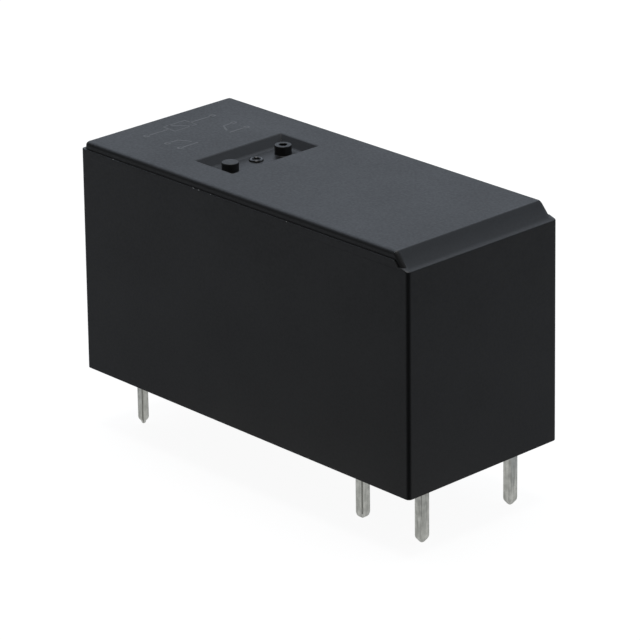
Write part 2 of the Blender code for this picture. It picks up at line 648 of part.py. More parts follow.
def build_winding():
    """The wound wire as one body, with a lead to a wrap round each coil pin."""
    inner = TUBE_RADIUS + FIT_GAP
    outer = WINDING_RADIUS
    low = COIL_FLANGE_X + FLANGE_THICKNESS + FIT_GAP
    high = INNER_FLANGE_X - FIT_GAP
    shoulder = WINDING_SHOULDER
    winding = turn("coil_winding", [
        (low, inner), (low, outer - shoulder), (low + shoulder, outer),
        (high - shoulder, outer), (high, outer - shoulder), (high, inner), (low, inner),
    ], (0, 0, COIL_AXIS_Z), "X")
    wrap_inner = math.hypot(COIL_PIN_THICKNESS, COIL_PIN_WIDTH) / 2 + FIT_GAP
    wrap_outer = wrap_inner + LEAD_DIAMETER
    radius = LEAD_DIAMETER / 2
    for side in (NEAR, FAR):
        wrap = turn("wrap", [
            (WRAP_Z, wrap_inner), (WRAP_Z, wrap_outer), (WRAP_TOP_Z, wrap_outer),
            (WRAP_TOP_Z, wrap_inner), (WRAP_Z, wrap_inner),
        ], (COIL_ROW_X, side * POLE_Y, 0), "Z")
        route = [
            (COIL_ROW_X + wrap_inner + radius, side * POLE_Y),
            (COIL_FLANGE_X - LEAD_DIAMETER, side * LEAD_Y),
            (low + WINDING_TO_LEAD, side * LEAD_Y),
        ]
        lead = loft("lead", [
            [(x, y + radius * math.cos(angle), LEAD_Z + radius * math.sin(angle))
             for angle in (math.tau * step / LEAD_STEPS for step in range(LEAD_STEPS))]
            for x, y in route
        ])
        join(wrap, lead)
        join(winding, wrap)
    return finish(smooth(winding), (0.45, 0.16, 0.06), 0.35, 1.0)


def build_core():
    """The turned core: pole head, shank in the bobbin, and a tail riveted over behind the yoke leg."""
    pole = CORE_RADIUS + POLE_OVERHANG
    tail_end_x = YOKE_LEG_X + YOKE_THICKNESS + RIVET_GAP
    core = turn("core", [
        (POLE_X, 0),
        (POLE_X, pole - EDGE_BREAK),
        (POLE_X + EDGE_BREAK, pole),
        (POLE_X + POLE_THICKNESS, pole),
        (POLE_X + POLE_THICKNESS, CORE_RADIUS),
        (YOKE_LEG_X - FIT_GAP, CORE_RADIUS),
        (YOKE_LEG_X - FIT_GAP, CORE_TAIL_RADIUS),
        (tail_end_x, CORE_TAIL_RADIUS),
        (tail_end_x, CORE_TAIL_RADIUS + CORE_RIVET_OVERHANG),
        (tail_end_x + CORE_RIVET_HEIGHT - FIT_GAP, CORE_TAIL_RADIUS),
        (tail_end_x + CORE_RIVET_HEIGHT - FIT_GAP, 0),
    ], (0, 0, COIL_AXIS_Z), "X")
    return finish(smooth(core), (0.42, 0.42, 0.43), 0.35, 1.0)


def build_yoke():
    """The L-shaped frame, narrowed at its hinge end to pass between the pin lugs."""
    half = YOKE_THICKNESS / 2
    path = [
        (ARMATURE_FACE_X + FIT_GAP, YOKE_Z + half),
        (YOKE_LEG_X + half, YOKE_Z + half),
        (YOKE_LEG_X + half, CARD_Z - YOKE_TO_CARD),
    ]
    outline = bent_strip(path, YOKE_THICKNESS, YOKE_THICKNESS / 2 + YOKE_BEND)
    yoke = extrude("yoke", outline, "Y", -YOKE_Y, YOKE_Y)
    notch_x = (ARMATURE_FACE_X - MM, COIL_FLANGE_X + FLANGE_THICKNESS + SLIDE_GAP)
    for side in (NEAR, FAR):
        notch_y = span(side, ARMATURE_FOOT_Y, COVER_WIDTH)
        cut(yoke, block("side notch", notch_x, notch_y, (YOKE_Z - MM, YOKE_TOP_Z + MM)))
    soften(yoke, EDGE_BREAK, 1)
    through = (YOKE_LEG_X - MM, YOKE_LEG_X + YOKE_THICKNESS + MM)
    cut(yoke, rod("core hole", (0, 0, COIL_AXIS_Z), "X", CORE_TAIL_RADIUS + RIVET_GAP, *through))
    return finish(yoke, (0.45, 0.45, 0.46), 0.35, 1.0)


def build_armature():
    """The flat armature, tipped back at rest about its joint axis on the lower edge of the yoke's end."""
    foot = ARMATURE_FOOT_Y
    wide = ARMATURE_Y
    tongue = TONGUE_WIDTH / 2
    wing_z = WRAP_TOP_Z + PIN_STUB
    shoulder_z = CARD_Z - SLIDE_GAP - ARMATURE_THICKNESS * math.sin(ARMATURE_SWING) - FIT_GAP
    side_points = [
        (foot, HINGE_Z), (foot, wing_z - (wide - foot) / 2), (wide, wing_z),
        (wide, shoulder_z - WING_CORNER), (wide - WING_CORNER, shoulder_z),
        (tongue, shoulder_z), (tongue, TIP_Z),
    ]
    outline = side_points + [(-y, z) for y, z in side_points[::-1]]
    armature = extrude("armature", outline, "X", ARMATURE_FACE_X - ARMATURE_THICKNESS, ARMATURE_FACE_X)
    soften(armature, EDGE_BREAK, 1)
    set_origin(armature, Vector((ARMATURE_FACE_X, 0, HINGE_Z)))
    armature.rotation_euler.y = -ARMATURE_SWING
    return finish(armature, (0.45, 0.45, 0.46), 0.38, 1.0)


def build_hinge_spring():
    """The leaf under the yoke that turns up behind the armature's foot and presses it home."""
    half = STRIP_THICKNESS / 2
    lean = (STRIP_RISE + ARMATURE_THICKNESS) * math.tan(ARMATURE_SWING)
    finger_x = ARMATURE_FACE_X - ARMATURE_THICKNESS - lean - FIT_GAP - half
    path = [
        (ARMATURE_FACE_X + STRIP_LENGTH, STRIP_Z + half),
        (finger_x, STRIP_Z + half),
        (finger_x, STRIP_Z + STRIP_RISE),
    ]
    outline = bent_strip(path, STRIP_THICKNESS, STRIP_THICKNESS / 2 + STRIP_THICKNESS)
    spring = extrude("hinge_spring", outline, "Y", -STRIP_WIDTH / 2, STRIP_WIDTH / 2)
    return finish(spring, (0.5, 0.5, 0.48), 0.3, 1.0)


def spring_root():
    """Where both contact springs bend: the middle of the leaf, just above the terminal plates."""
    return Vector((SPRING_MIDDLE_X, 0, ROOT_Z))


def spring_tip_places():
    """Low and high Y of each contact spring's tip."""
    half = SPRING_TIP_WIDTH / 2
    return [(side * POLE_Y - half, side * POLE_Y + half) for side in (NEAR, FAR)]


def build_card():
    """The T-shaped slider: prongs beside the armature's tongue, and a head with a slot for each spring."""
    tongue_x = ARMATURE_FACE_X - (CARD_MIDDLE_Z - HINGE_Z) * math.tan(ARMATURE_SWING)
    lean = CARD_THICKNESS / 2 * math.tan(ARMATURE_SWING)
    floor_x = tongue_x + lean + FIT_GAP
    bar = CARD_BAR_WIDTH / 2
    prong = TONGUE_WIDTH / 2 + SLIDE_GAP
    head = POLE_Y + SPRING_TIP_WIDTH
    head_x = (SPRING_MIDDLE_X - CARD_HEAD_LENGTH / 2, SPRING_MIDDLE_X + CARD_HEAD_LENGTH / 2)
    side_points = [
        (head_x[1], head), (head_x[0], head), (head_x[0] - (head - bar) / 2, bar),
        (floor_x - CARD_PRONG_LENGTH, bar), (floor_x - CARD_PRONG_LENGTH, prong), (floor_x, prong),
    ]
    outline = side_points + [(x, -y) for x, y in side_points[::-1]]
    card = extrude("card", outline, "Z", CARD_Z, CARD_TOP_Z)
    slot_half = SPRING_THICKNESS / 2 + FIT_GAP + CARD_THICKNESS / 2 * math.tan(SPRING_SWING)
    slot_x = (SPRING_MIDDLE_X - slot_half, SPRING_MIDDLE_X + slot_half)
    slot_z = (CARD_Z - MM, CARD_TOP_Z + MM)
    for low, high in spring_tip_places():
        cut(card, block("tip slot", slot_x, (low - SLIDE_GAP, high + SLIDE_GAP), slot_z))
    return finish(card, (0.55, 0.52, 0.45), 0.5, 0.0)


def build_moving_terminal(name, side):
    """A pin that widens above the base into the plate the contact spring is staked to."""
    middle = side * POLE_Y
    plate_z = (BASE_TOP_Z + FIT_GAP, PLATE_TOP_Z)
    plate_x = (MOVING_ROW_X - CONTACT_PIN_THICKNESS / 2, MOVING_ROW_X + CONTACT_PIN_THICKNESS / 2)
    plate_y = (middle - SPRING_WIDTH / 2, middle + SPRING_WIDTH / 2)
    pin_top_z = sum(plate_z) / 2
    terminal = pin(name, MOVING_ROW_X, middle, pin_top_z, CONTACT_PIN_SECTION, CONTACT_PIN_END, True)
    join(terminal, block("plate", plate_x, plate_y, plate_z))
    for x, y, z in pip_places(side):
        join(terminal, rod("pip", (0, y, z), "X", PIP_DIAMETER / 2, SPRING_BACK_X - PIP_HEAD, x))
    return finish(terminal, (0.55, 0.56, 0.54), 0.35, 1.0)


def pip_places(side):
    """The two staking pips of one pole, side by side across the plate."""
    height = (BASE_TOP_Z + PLATE_TOP_Z) / 2
    return [(MOVING_ROW_X, side * POLE_Y + step * PIP_SPACING / 2, height) for step in (-1, 1)]


def build_moving_spring(name, side):
    """The contact leaf: holes for the pips and the rivet, and a narrow tip that enters the card."""
    middle = side * POLE_Y
    wide = SPRING_WIDTH / 2
    narrow = SPRING_TIP_WIDTH / 2
    neck_z = TIP_Z - SPRING_TIP_LENGTH
    foot_z = BASE_TOP_Z + SLIDE_GAP + FIT_GAP
    outline = [
        (middle - wide, foot_z), (middle + wide, foot_z), (middle + wide, neck_z - (wide - narrow)),
        (middle + narrow, neck_z), (middle + narrow, TIP_Z), (middle - narrow, TIP_Z),
        (middle - narrow, neck_z), (middle - wide, neck_z - (wide - narrow)),
    ]
    spring = extrude(name, outline, "X", SPRING_BACK_X, SPRING_FACE_X)
    through = (SPRING_BACK_X - MM, SPRING_FACE_X + MM)
    cut(spring, rod("rivet hole", (0, middle, CONTACT_Z), "X", RIVET_HOLE_RADIUS, *through))
    for x, y, z in pip_places(side):
        cut(spring, rod("pip hole", (0, y, z), "X", PIP_DIAMETER / 2 + FIT_GAP, *through))
    set_origin(spring, spring_root())
    return finish(spring, (0.6, 0.3, 0.16), 0.3, 1.0)


def contact_rivet(name, side, face_x, seat_x, back_x):
    """A contact rivet from its crowned face, through its seat, to the tail closed over behind."""
    away = 1 if back_x > face_x else -1
    head = CONTACT_HEAD_DIAMETER / 2
    shank = RIVET_SHANK_DIAMETER / 2
    crown = [(face_x + away * CONTACT_CROWN * deep, head * wide) for deep, wide in quarter_round()]
    tail_x = back_x + away * RIVET_GAP
    tail_end_x = tail_x + away * RIVET_TAIL_HEIGHT
    profile = crown + [
        (seat_x, head), (seat_x, shank), (tail_x, shank),
        (tail_x, RIVET_TAIL_DIAMETER / 2), (tail_end_x, shank), (tail_end_x, 0),
    ]
    rivet = turn(name, profile, (0, side * POLE_Y, CONTACT_Z), "X")
    return finish(smooth(rivet), (0.72, 0.7, 0.66), 0.3, 1.0)


def build_fixed_terminal(name, side):
    """A strip bent twice: up out of the base, along towards the spring, and up to the fixed contact."""
    middle = side * POLE_Y
    half = CONTACT_PIN_THICKNESS / 2
    run_z = BASE_TOP_Z + FIT_GAP + half
    path = [
        (FIXED_ROW_X + half, run_z),
        (FIXED_LEG_X + half, run_z),
        (FIXED_LEG_X + half, CONTACT_Z + FIXED_LEG_ABOVE_CONTACT),
    ]
    outline = bent_strip(path, CONTACT_PIN_THICKNESS, CONTACT_PIN_THICKNESS)
    terminal = extrude(name, outline, "Y", middle - FIXED_LEG_WIDTH / 2, middle + FIXED_LEG_WIDTH / 2)
    join(terminal, pin("pin", FIXED_ROW_X, middle, run_z, CONTACT_PIN_SECTION, CONTACT_PIN_END, False))
    through = (FIXED_LEG_X - MM, FIXED_LEG_X + CONTACT_PIN_THICKNESS + MM)
    cut(terminal, rod("rivet hole", (0, middle, CONTACT_Z), "X", RIVET_HOLE_RADIUS, *through))
    return finish(terminal, (0.55, 0.56, 0.54), 0.35, 1.0)


def build_coil_terminal(name, side):
    """A straight square pin, pressed through the bobbin's lug, with a stub for the wire wrap."""
    top_z = LUG_Z + LUG_HEIGHT + PIN_STUB
    terminal = pin(name, COIL_ROW_X, side * POLE_Y, top_z, COIL_PIN_SECTION, COIL_PIN_END, False)
    return finish(terminal, (0.55, 0.56, 0.54), 0.35, 1.0)


def build_relay():
    clear_scene()
    build_cover()
    build_base()
    build_resin()
    build_bobbin()
    build_winding()
    build_core()
    build_yoke()
    build_armature()
    build_hinge_spring()
    build_card()
    leg_back = FIXED_LEG_X + CONTACT_PIN_THICKNESS
    for word, side in (("near", NEAR), ("far", FAR)):
        build_coil_terminal(f"coil_terminal_{word}", side)
        build_moving_terminal(f"moving_terminal_{word}", side)
        build_moving_spring(f"moving_spring_{word}", side)
        rivet = contact_rivet(
            f"moving_contact_{word}", side, MOVING_FACE_X, SPRING_FACE_X + RIVET_GAP, SPRING_BACK_X,
        )
        set_origin(rivet, spring_root())
        build_fixed_terminal(f"fixed_terminal_{word}", side)
        contact_rivet(f"fixed_contact_{word}", side, FIXED_FACE_X, FIXED_LEG_X - RIVET_GAP, leg_back)


build_relay()
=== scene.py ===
# %% [markdown]
# # Dressing a printed-circuit power relay
#
# The relay is a black moulded box, 29 mm long, that stands on six tinned pins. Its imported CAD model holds
# the whole mechanism: coil, armature, card and contact springs. This lesson builds what the eye meets
# around that frame: the finely rounded cover, the poured resin, the tinned pins and the wound coil, each
# with a finish that starts from the real material.
#
# The frame is in metres, +Z up. +X runs from the coil end to the contact end, and "near" is the -Y side.

# %% Load the frame
import math
import random

import bmesh
import bpy
from mathutils import Matrix, Vector


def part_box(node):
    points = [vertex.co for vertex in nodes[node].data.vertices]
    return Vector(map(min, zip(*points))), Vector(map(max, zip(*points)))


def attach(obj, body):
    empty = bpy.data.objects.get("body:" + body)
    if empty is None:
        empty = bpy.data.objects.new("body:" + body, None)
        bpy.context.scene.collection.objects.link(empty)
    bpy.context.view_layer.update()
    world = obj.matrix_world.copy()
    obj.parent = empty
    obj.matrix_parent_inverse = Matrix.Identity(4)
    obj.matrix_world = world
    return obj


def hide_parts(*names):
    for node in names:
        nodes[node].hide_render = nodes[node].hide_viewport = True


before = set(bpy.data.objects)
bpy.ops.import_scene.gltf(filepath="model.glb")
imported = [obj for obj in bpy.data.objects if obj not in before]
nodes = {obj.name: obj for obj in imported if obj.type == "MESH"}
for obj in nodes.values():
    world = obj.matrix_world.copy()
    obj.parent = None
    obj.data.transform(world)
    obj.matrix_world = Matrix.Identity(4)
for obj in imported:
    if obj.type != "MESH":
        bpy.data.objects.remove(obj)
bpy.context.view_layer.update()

MM = 0.001

# %% [markdown]
# ## Helpers for shapes
#
# All the new pieces are drawn in millimetres, because round numbers are easier to read and the Boolean
# solver is happier with sizes near 1 than near 0.001. `make_piece` scales the finished shape to metres and
# leaves the object itself at the origin, unturned, as the CAD nodes are. Most moulded and stamped shapes
# are stacks of rounded rectangles, so one ring function and one skinning function carry most of the work.

# %% Rings, lofts and lathes
ROUND_STEPS = 48
CORNER_STEPS = 6


def quarter_turn(steps):
    """Cosine and sine of the angles from 0 to 90 degrees."""
    angles = [math.pi / 2 * step / steps for step in range(steps + 1)]
    return [(math.cos(angle), math.sin(angle)) for angle in angles]


def ring(level, x, y, radii):
    """A rounded rectangle at a level: low and high x, low and high y, and the radius at each end of x."""
    points = []
    corners = [(x[1], y[1], 1, 1), (x[0], y[1], -1, 1), (x[0], y[0], -1, -1), (x[1], y[0], 1, -1)]
    for corner_x, corner_y, side_x, side_y in corners:
        radius = radii[1] if side_x > 0 else radii[0]
        arc = quarter_turn(CORNER_STEPS)
        if side_x * side_y < 0:
            arc = arc[::-1]
        points += [
            Vector((
                corner_x - side_x * radius * (1 - along),
                corner_y - side_y * radius * (1 - across),
                level,
            ))
            for along, across in arc
        ]
    return points


def loft(sections, capped=True):
    """Skins a shape through rings that all have the same number of points."""
    shape = bmesh.new()
    rings = [[shape.verts.new(point) for point in section] for section in sections]
    for lower, upper in zip(rings, rings[1:]):
        for here in range(len(lower)):
            there = (here + 1) % len(lower)
            shape.faces.new([lower[here], lower[there], upper[there], upper[here]])
    if capped:
        shape.faces.new(rings[0][::-1])
        shape.faces.new(rings[-1])
    return shape


def lathe(profile, centre):
    """Turns a profile of (radius, level) points that starts and ends on the axis, or closes on itself."""
    sections = [
        [
            Vector((
                centre[0] + radius * math.cos(math.tau * step / ROUND_STEPS),
                centre[1] + radius * math.sin(math.tau * step / ROUND_STEPS),
                level,
            ))
            for step in range(ROUND_STEPS)
        ]
        for radius, level in profile
    ]
    return loft(sections, capped=False)


def add_object(name, data):
    """A new object at the origin of the scene."""
    item = bpy.data.objects.new(name, data)
    bpy.context.scene.collection.objects.link(item)
    return item


def object_from(name, shape):
    """A new object whose mesh is a finished shape."""
    mesh = bpy.data.meshes.new(name)
    shape.to_mesh(mesh)
    shape.free()
    return add_object(name, mesh)


def scratch_object(shape):
    """A helper object in millimetres, with its doubles merged and its faces pointing out."""
    bmesh.ops.remove_doubles(shape, verts=shape.verts, dist=1e-5)
    bmesh.ops.dissolve_degenerate(shape, dist=1e-6, edges=shape.edges)
    bmesh.ops.recalc_face_normals(shape, faces=shape.faces)
    return object_from("scratch", shape)


def bake_modifiers(item):
    """Turns what the modifiers make into the object's own plain mesh."""
    bpy.context.view_layer.update()
    evaluated = item.evaluated_get(bpy.context.evaluated_depsgraph_get())
    mesh = bpy.data.meshes.new_from_object(evaluated)
    item.modifiers.clear()
    item.data = mesh


def combine(item, operation, *shapes):
    """Joins shapes to an object ("UNION") or cuts them out of it ("DIFFERENCE")."""
    for shape in shapes:
        tool = scratch_object(shape)
        change = item.modifiers.new("change", "BOOLEAN")
        change.operation = operation
        change.object = tool
        bake_modifiers(item)
        bpy.data.objects.remove(tool, do_unlink=True)


def make_piece(name, item, body, replaced, smooth_angle=32):
    """Finishes a millimetre object as a piece in metres that rides on a CAD body."""
    item.name = item.data.name = name
    item.data.transform(Matrix.Scale(MM, 4))
    item.data.shade_smooth()
    item.data.set_sharp_from_angle(angle=math.radians(smooth_angle))
    weighted = item.modifiers.new("flat faces stay flat", "WEIGHTED_NORMAL")
    weighted.keep_sharp = True
    bake_modifiers(item)
    item.data.name = name
    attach(item, body)
    if replaced:
        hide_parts(*replaced)
    print(name, "has", len(item.data.polygons), "faces")


# %% [markdown]
# ## Helpers for finishes
#
# Every finish is a node material named for the real material and how its surface was made. Colours are
# written as sRGB hex values, the way a colour card gives them, and one function turns them to the linear
# values that the renderer adds up. One function adds any node with its settings and links.

# %% Colours, nodes and new materials
def linear(hex_colour):
    """An sRGB hex colour as linear red, green, blue and a full alpha."""
    channels = [int(hex_colour[place:place + 2], 16) / 255 for place in (1, 3, 5)]
    light = [c / 12.92 if c <= 0.04045 else ((c + 0.055) / 1.055) ** 2.4 for c in channels]
    return (*light, 1.0)


def per_metre(size_mm):
    """The texture scale that gives a pattern whose features are this many millimetres across."""
    return 1 / (size_mm * MM)


def add_node(tree, kind, inputs=None, **settings):
    """Adds a node. Each input is named or numbered, and takes a value or another node's output."""
    node = tree.nodes.new(kind)
    for key, value in settings.items():
        setattr(node, key, value)
    for key, value in (inputs or {}).items():
        if isinstance(value, bpy.types.NodeSocket):
            tree.links.new(value, node.inputs[key])
        else:
            node.inputs[key].default_value = value
    return node


def dress(item, finish):
    """Gives an object one finish all over."""
    item.data.materials.clear()
    item.data.materials.append(finish)


def blank_material(name):
    """An empty material: the material, its node tree and the place on the object in metres."""
    material = bpy.data.materials.new(name)
    material.use_nodes = True
    tree = material.node_tree
    tree.nodes.clear()
    return material, tree, add_node(tree, "ShaderNodeTexCoord").outputs["Object"]


# %% [markdown]
# Two recipes cover most of the relay. A moulded plastic has slow clouds, where the melt flowed, and the
# fine even grain of its mould. A rolled or drawn metal has fine lines that run one way, and slow patches.
# Each recipe takes its colours, its roughness and the real sizes of those marks.

# %% Recipe for moulded plastics
def moulded_plastic(name, dark, light, roughness, flow_mm, grain_mm, relief_mm):
    """A plastic with flow clouds in its colour and gloss, and the grain of its mould as relief."""
    material, tree, place = blank_material(name)
    flow = add_node(tree, "ShaderNodeTexNoise", {
        "Vector": place, "Scale": per_metre(flow_mm), "Detail": 3.0,
    }).outputs["Fac"]
    grain = add_node(tree, "ShaderNodeTexNoise", {
        "Vector": place, "Scale": per_metre(grain_mm), "Detail": 3.0,
    }).outputs["Fac"]
    colour = add_node(tree, "ShaderNodeMix", {
        0: flow, 6: linear(dark), 7: linear(light),
    }, data_type="RGBA")
    soft = add_node(tree, "ShaderNodeMapRange", {
        "Value": flow, "From Min": 0.3, "From Max": 0.7,
        "To Min": roughness - 0.03, "To Max": roughness + 0.03,
    })
    fine = add_node(tree, "ShaderNodeMapRange", {
        "Value": grain, "From Min": 0.3, "From Max": 0.7, "To Min": -0.05, "To Max": 0.05,
    })
    gloss = add_node(tree, "ShaderNodeMath", {0: soft.outputs[0], 1: fine.outputs[0]}, operation="ADD")
    relief = add_node(tree, "ShaderNodeBump", {"Height": grain, "Distance": relief_mm * MM, "Strength": 0.6})
    shader = add_node(tree, "ShaderNodeBsdfPrincipled", {
        "Base Color": colour.outputs[2], "Roughness": gloss.outputs[0], "Normal": relief.outputs[0],
    })
    add_node(tree, "ShaderNodeOutputMaterial", {"Surface": shader.outputs[0]})
    return material


# %% Recipe for rolled and drawn metals
def drawn_metal(name, dark, light, roughness, lines_mm, run, patch_mm, relief_mm):
    """A metal with fine lines along the axis whose run is below 1, and slow patches in colour and gloss."""
    material, tree, place = blank_material(name)
    along = add_node(tree, "ShaderNodeMapping", {"Vector": place, "Scale": run})
    lines = add_node(tree, "ShaderNodeTexNoise", {
        "Vector": along.outputs[0], "Scale": per_metre(lines_mm), "Detail": 2.0,
    }).outputs["Fac"]
    patches = add_node(tree, "ShaderNodeTexNoise", {
        "Vector": place, "Scale": per_metre(patch_mm), "Detail": 3.0,
    }).outputs["Fac"]
    colour = add_node(tree, "ShaderNodeMix", {
        0: patches, 6: linear(dark), 7: linear(light),
    }, data_type="RGBA")
    soft = add_node(tree, "ShaderNodeMapRange", {
        "Value": patches, "From Min": 0.3, "From Max": 0.7,
        "To Min": roughness - 0.06, "To Max": roughness + 0.06,
    })
    fine = add_node(tree, "ShaderNodeMapRange", {
        "Value": lines, "From Min": 0.3, "From Max": 0.7, "To Min": -0.05, "To Max": 0.05,
    })
    gloss = add_node(tree, "ShaderNodeMath", {0: soft.outputs[0], 1: fine.outputs[0]}, operation="ADD")
    height = add_node(tree, "ShaderNodeMath", {0: lines, 1: patches}, operation="ADD")
    relief = add_node(tree, "ShaderNodeBump", {
        "Height": height.outputs[0], "Distance": relief_mm * MM, "Strength": 0.6,
    })
    shader = add_node(tree, "ShaderNodeBsdfPrincipled", {
        "Base Color": colour.outputs[2], "Metallic": 1.0, "Roughness": gloss.outputs[0],
        "Normal": relief.outputs[0],
    })
    add_node(tree, "ShaderNodeOutputMaterial", {"Surface": shader.outputs[0]})
    return material


# %% [markdown]
# ## The camera
#
# The photograph was taken with a long lens from the contact end, a little above the relay. The corners of
# the cover in the photograph fix the viewpoint: 47 degrees round from the near side, 22 degrees up,
# 228 mm away, with the camera rolled by under a degree.

# %% Camera at the photograph's viewpoint
CAMERA_AZIMUTH = math.radians(46.753)
CAMERA_ELEVATION = math.radians(21.893)
CAMERA_ROLL = math.radians(-0.778)
CAMERA_DISTANCE = 227.958 * MM
CAMERA_LENS = 210.735
CAMERA_SENSOR = 36
CAMERA_CLIP = (0.01, 10)
CAMERA_AIM = Vector((0.754, -0.294, 9.663)) * MM


def place_camera():
    """Aims a camera with the photograph's viewpoint, roll and focal length."""
    back = Vector((
        math.sin(CAMERA_AZIMUTH) * math.cos(CAMERA_ELEVATION),
        -math.cos(CAMERA_AZIMUTH) * math.cos(CAMERA_ELEVATION),
        math.sin(CAMERA_ELEVATION),
    ))
    level_right = (-back).cross(Vector((0, 0, 1))).normalized()
    level_up = level_right.cross(-back)
    right = level_right * math.cos(CAMERA_ROLL) + level_up * math.sin(CAMERA_ROLL)
    up = level_up * math.cos(CAMERA_ROLL) - level_right * math.sin(CAMERA_ROLL)
    lens = bpy.data.cameras.new("camera")
    lens.lens = CAMERA_LENS
    lens.sensor_width = CAMERA_SENSOR
    lens.clip_start, lens.clip_end = CAMERA_CLIP
    camera = add_object("camera", lens)
    turn = Matrix((right, up, back)).transposed().to_4x4()
    camera.matrix_world = Matrix.Translation(CAMERA_AIM + back * CAMERA_DISTANCE) @ turn
    bpy.context.scene.camera = camera
    return camera


camera = place_camera()
print("camera stands at mm:", [round(value / MM, 1) for value in camera.location])

# %% [markdown]
# ## Black moulded PBT
#
# Relay covers are moulded in a glass-filled polyester, nearly always black. The mould is spark eroded, which
# leaves a fine even grain of about 0.05 mm that kills reflections seen head on, yet shows a soft grey sheen
# at a glancing angle. That grain is too fine to show at this size, so it is drawn at 0.16 mm. A slow change
# of roughness over several millimetres stands for the flow of the plastic. Marks in the mould are cut with a
# fine engraving tool that leaves bright metal, so a moulded mark is the one glossy spot on the cover. The
# base plate is moulded in the same plastic with more glass in it, so it is a little greyer and duller.

# %% Cover and base plastic
cover_finish = moulded_plastic("black_pbt_spark_eroded", "#0d0e0f", "#121314", 0.46, 5.0, 0.16, 0.004)
engraved_finish = moulded_plastic("black_pbt_engraved_polished", "#0d0e0f", "#121314", 0.16, 5.0, 0.16, 0.002)
base_finish = moulded_plastic("black_pbt_base_moulding", "#1b1b1c", "#222223", 0.55, 5.0, 0.16, 0.004)
print("plastics:", cover_finish.name, engraved_finish.name, base_finish.name)

# %% [markdown]
# ## The cover
#
# The cover is one thin shell. Seen closely it is two stacked bodies: the drafted walls, and a roof that is
# stepped in by 0.1 mm along the line where the mould parts. At the contact end that line runs down beside
# the big chamfer to a narrow ledge, which leans outwards to the end wall. Each body is a stack of rounded
# rectangles, so the fine radii of the edges are part of the profile: no bevel is needed, and the light runs
# round each edge as it does on the moulding. The CAD node has the same shape with plainer edges and a level
# ledge, and this piece stands for it.

# %% Sizes of the cover, in millimetres
HALF_LENGTH = 14.4
HALF_WIDTH = 6.25
RIM = 3.9
ROOF = 19.0
DRAFT = 0.08
CORNER_RADIUS = 0.25
ROOF_CORNER = 0.32
BAND_FOOT = 18.52
BAND_STEP = 0.1
COIL_END_STEP = 0.19
LEDGE = 18.14
LEDGE_TILT = math.radians(18)
CHAMFER_TOP_X = 13.17
CHAMFER_RUN = 0.895
EDGE_RADIUS = 0.28
CHAMFER_EDGE = 0.09
LEDGE_EDGE = 0.08
FINE_RADIUS = 0.03
SHARP = 0.02
BODY_SINK = 0.4  # how far the upper body reaches down into the lower one
FINE_STEPS = 3
ARC_STEPS = 5
EDGE_STEPS = 6
CHAMFER_FOOT_X = CHAMFER_TOP_X + (ROOF - LEDGE) * CHAMFER_RUN


def draft_at(level):
    """How far the drafted walls have come in at a level."""
    return DRAFT * (level - RIM) / (BAND_FOOT - RIM)


def chamfer_x(level):
    """Where the chamfer's slope is at a level, with a small fillet where it meets the roof."""
    slope = math.atan2(1, CHAMFER_RUN)
    tangent = CHAMFER_EDGE * math.tan(slope / 2)
    centre_x = CHAMFER_TOP_X - tangent
    centre_level = ROOF - CHAMFER_EDGE
    straight_x = CHAMFER_TOP_X + (ROOF - level) * CHAMFER_RUN
    if level < ROOF - tangent * math.sin(slope):
        return straight_x
    return centre_x + math.sqrt(max(0, CHAMFER_EDGE ** 2 - (level - centre_level) ** 2))


# %% Outer shape: drafted walls below, stepped roof above
def wall_ring(level, inset=0.0, high_x=None, high_radius=CORNER_RADIUS):
    """A ring of the lower body at a level."""
    gone = draft_at(level) + inset
    x = (-HALF_LENGTH + gone, HALF_LENGTH - gone if high_x is None else high_x)
    y = (-HALF_WIDTH + gone, HALF_WIDTH - gone)
    return ring(level, x, y, (CORNER_RADIUS - inset, high_radius))


def lower_body():
    """The drafted walls, up to the ledge at the contact end and to the foot of the band elsewhere."""
    rings = [
        wall_ring(RIM + FINE_RADIUS * (1 - along), FINE_RADIUS * (1 - across))
        for across, along in quarter_turn(FINE_STEPS)[::-1]
    ]
    turned = math.pi / 2 - LEDGE_TILT
    slope_x = HALF_LENGTH - draft_at(LEDGE) - LEDGE_EDGE * (1 - math.cos(turned))
    slope_level = LEDGE - (slope_x - CHAMFER_FOOT_X) * math.tan(LEDGE_TILT)
    centre_level = slope_level - LEDGE_EDGE * math.sin(turned)
    for step in range(ARC_STEPS + 1):
        turn = turned * step / ARC_STEPS
        level = centre_level + LEDGE_EDGE * math.sin(turn)
        x = HALF_LENGTH - draft_at(level) - LEDGE_EDGE * (1 - math.cos(turn))
        rings.append(wall_ring(level, 0, x))
    rise = FINE_RADIUS * math.tan(LEDGE_TILT)
    rings.append(wall_ring(LEDGE + rise, 0, CHAMFER_FOOT_X - FINE_RADIUS))
    foot_x = CHAMFER_TOP_X + (BAND_FOOT - LEDGE - rise) * CHAMFER_RUN
    rings.append(wall_ring(LEDGE + rise, 0, foot_x, SHARP))
    rings.append(wall_ring(BAND_FOOT - FINE_RADIUS, 0, CHAMFER_TOP_X + FINE_RADIUS * CHAMFER_RUN, SHARP))
    for across, along in quarter_turn(FINE_STEPS):
        level = BAND_FOOT - FINE_RADIUS * (1 - along)
        x = CHAMFER_TOP_X + (BAND_FOOT - level) * CHAMFER_RUN
        rings.append(wall_ring(level, FINE_RADIUS * (1 - across), x, SHARP))
    return loft(rings)


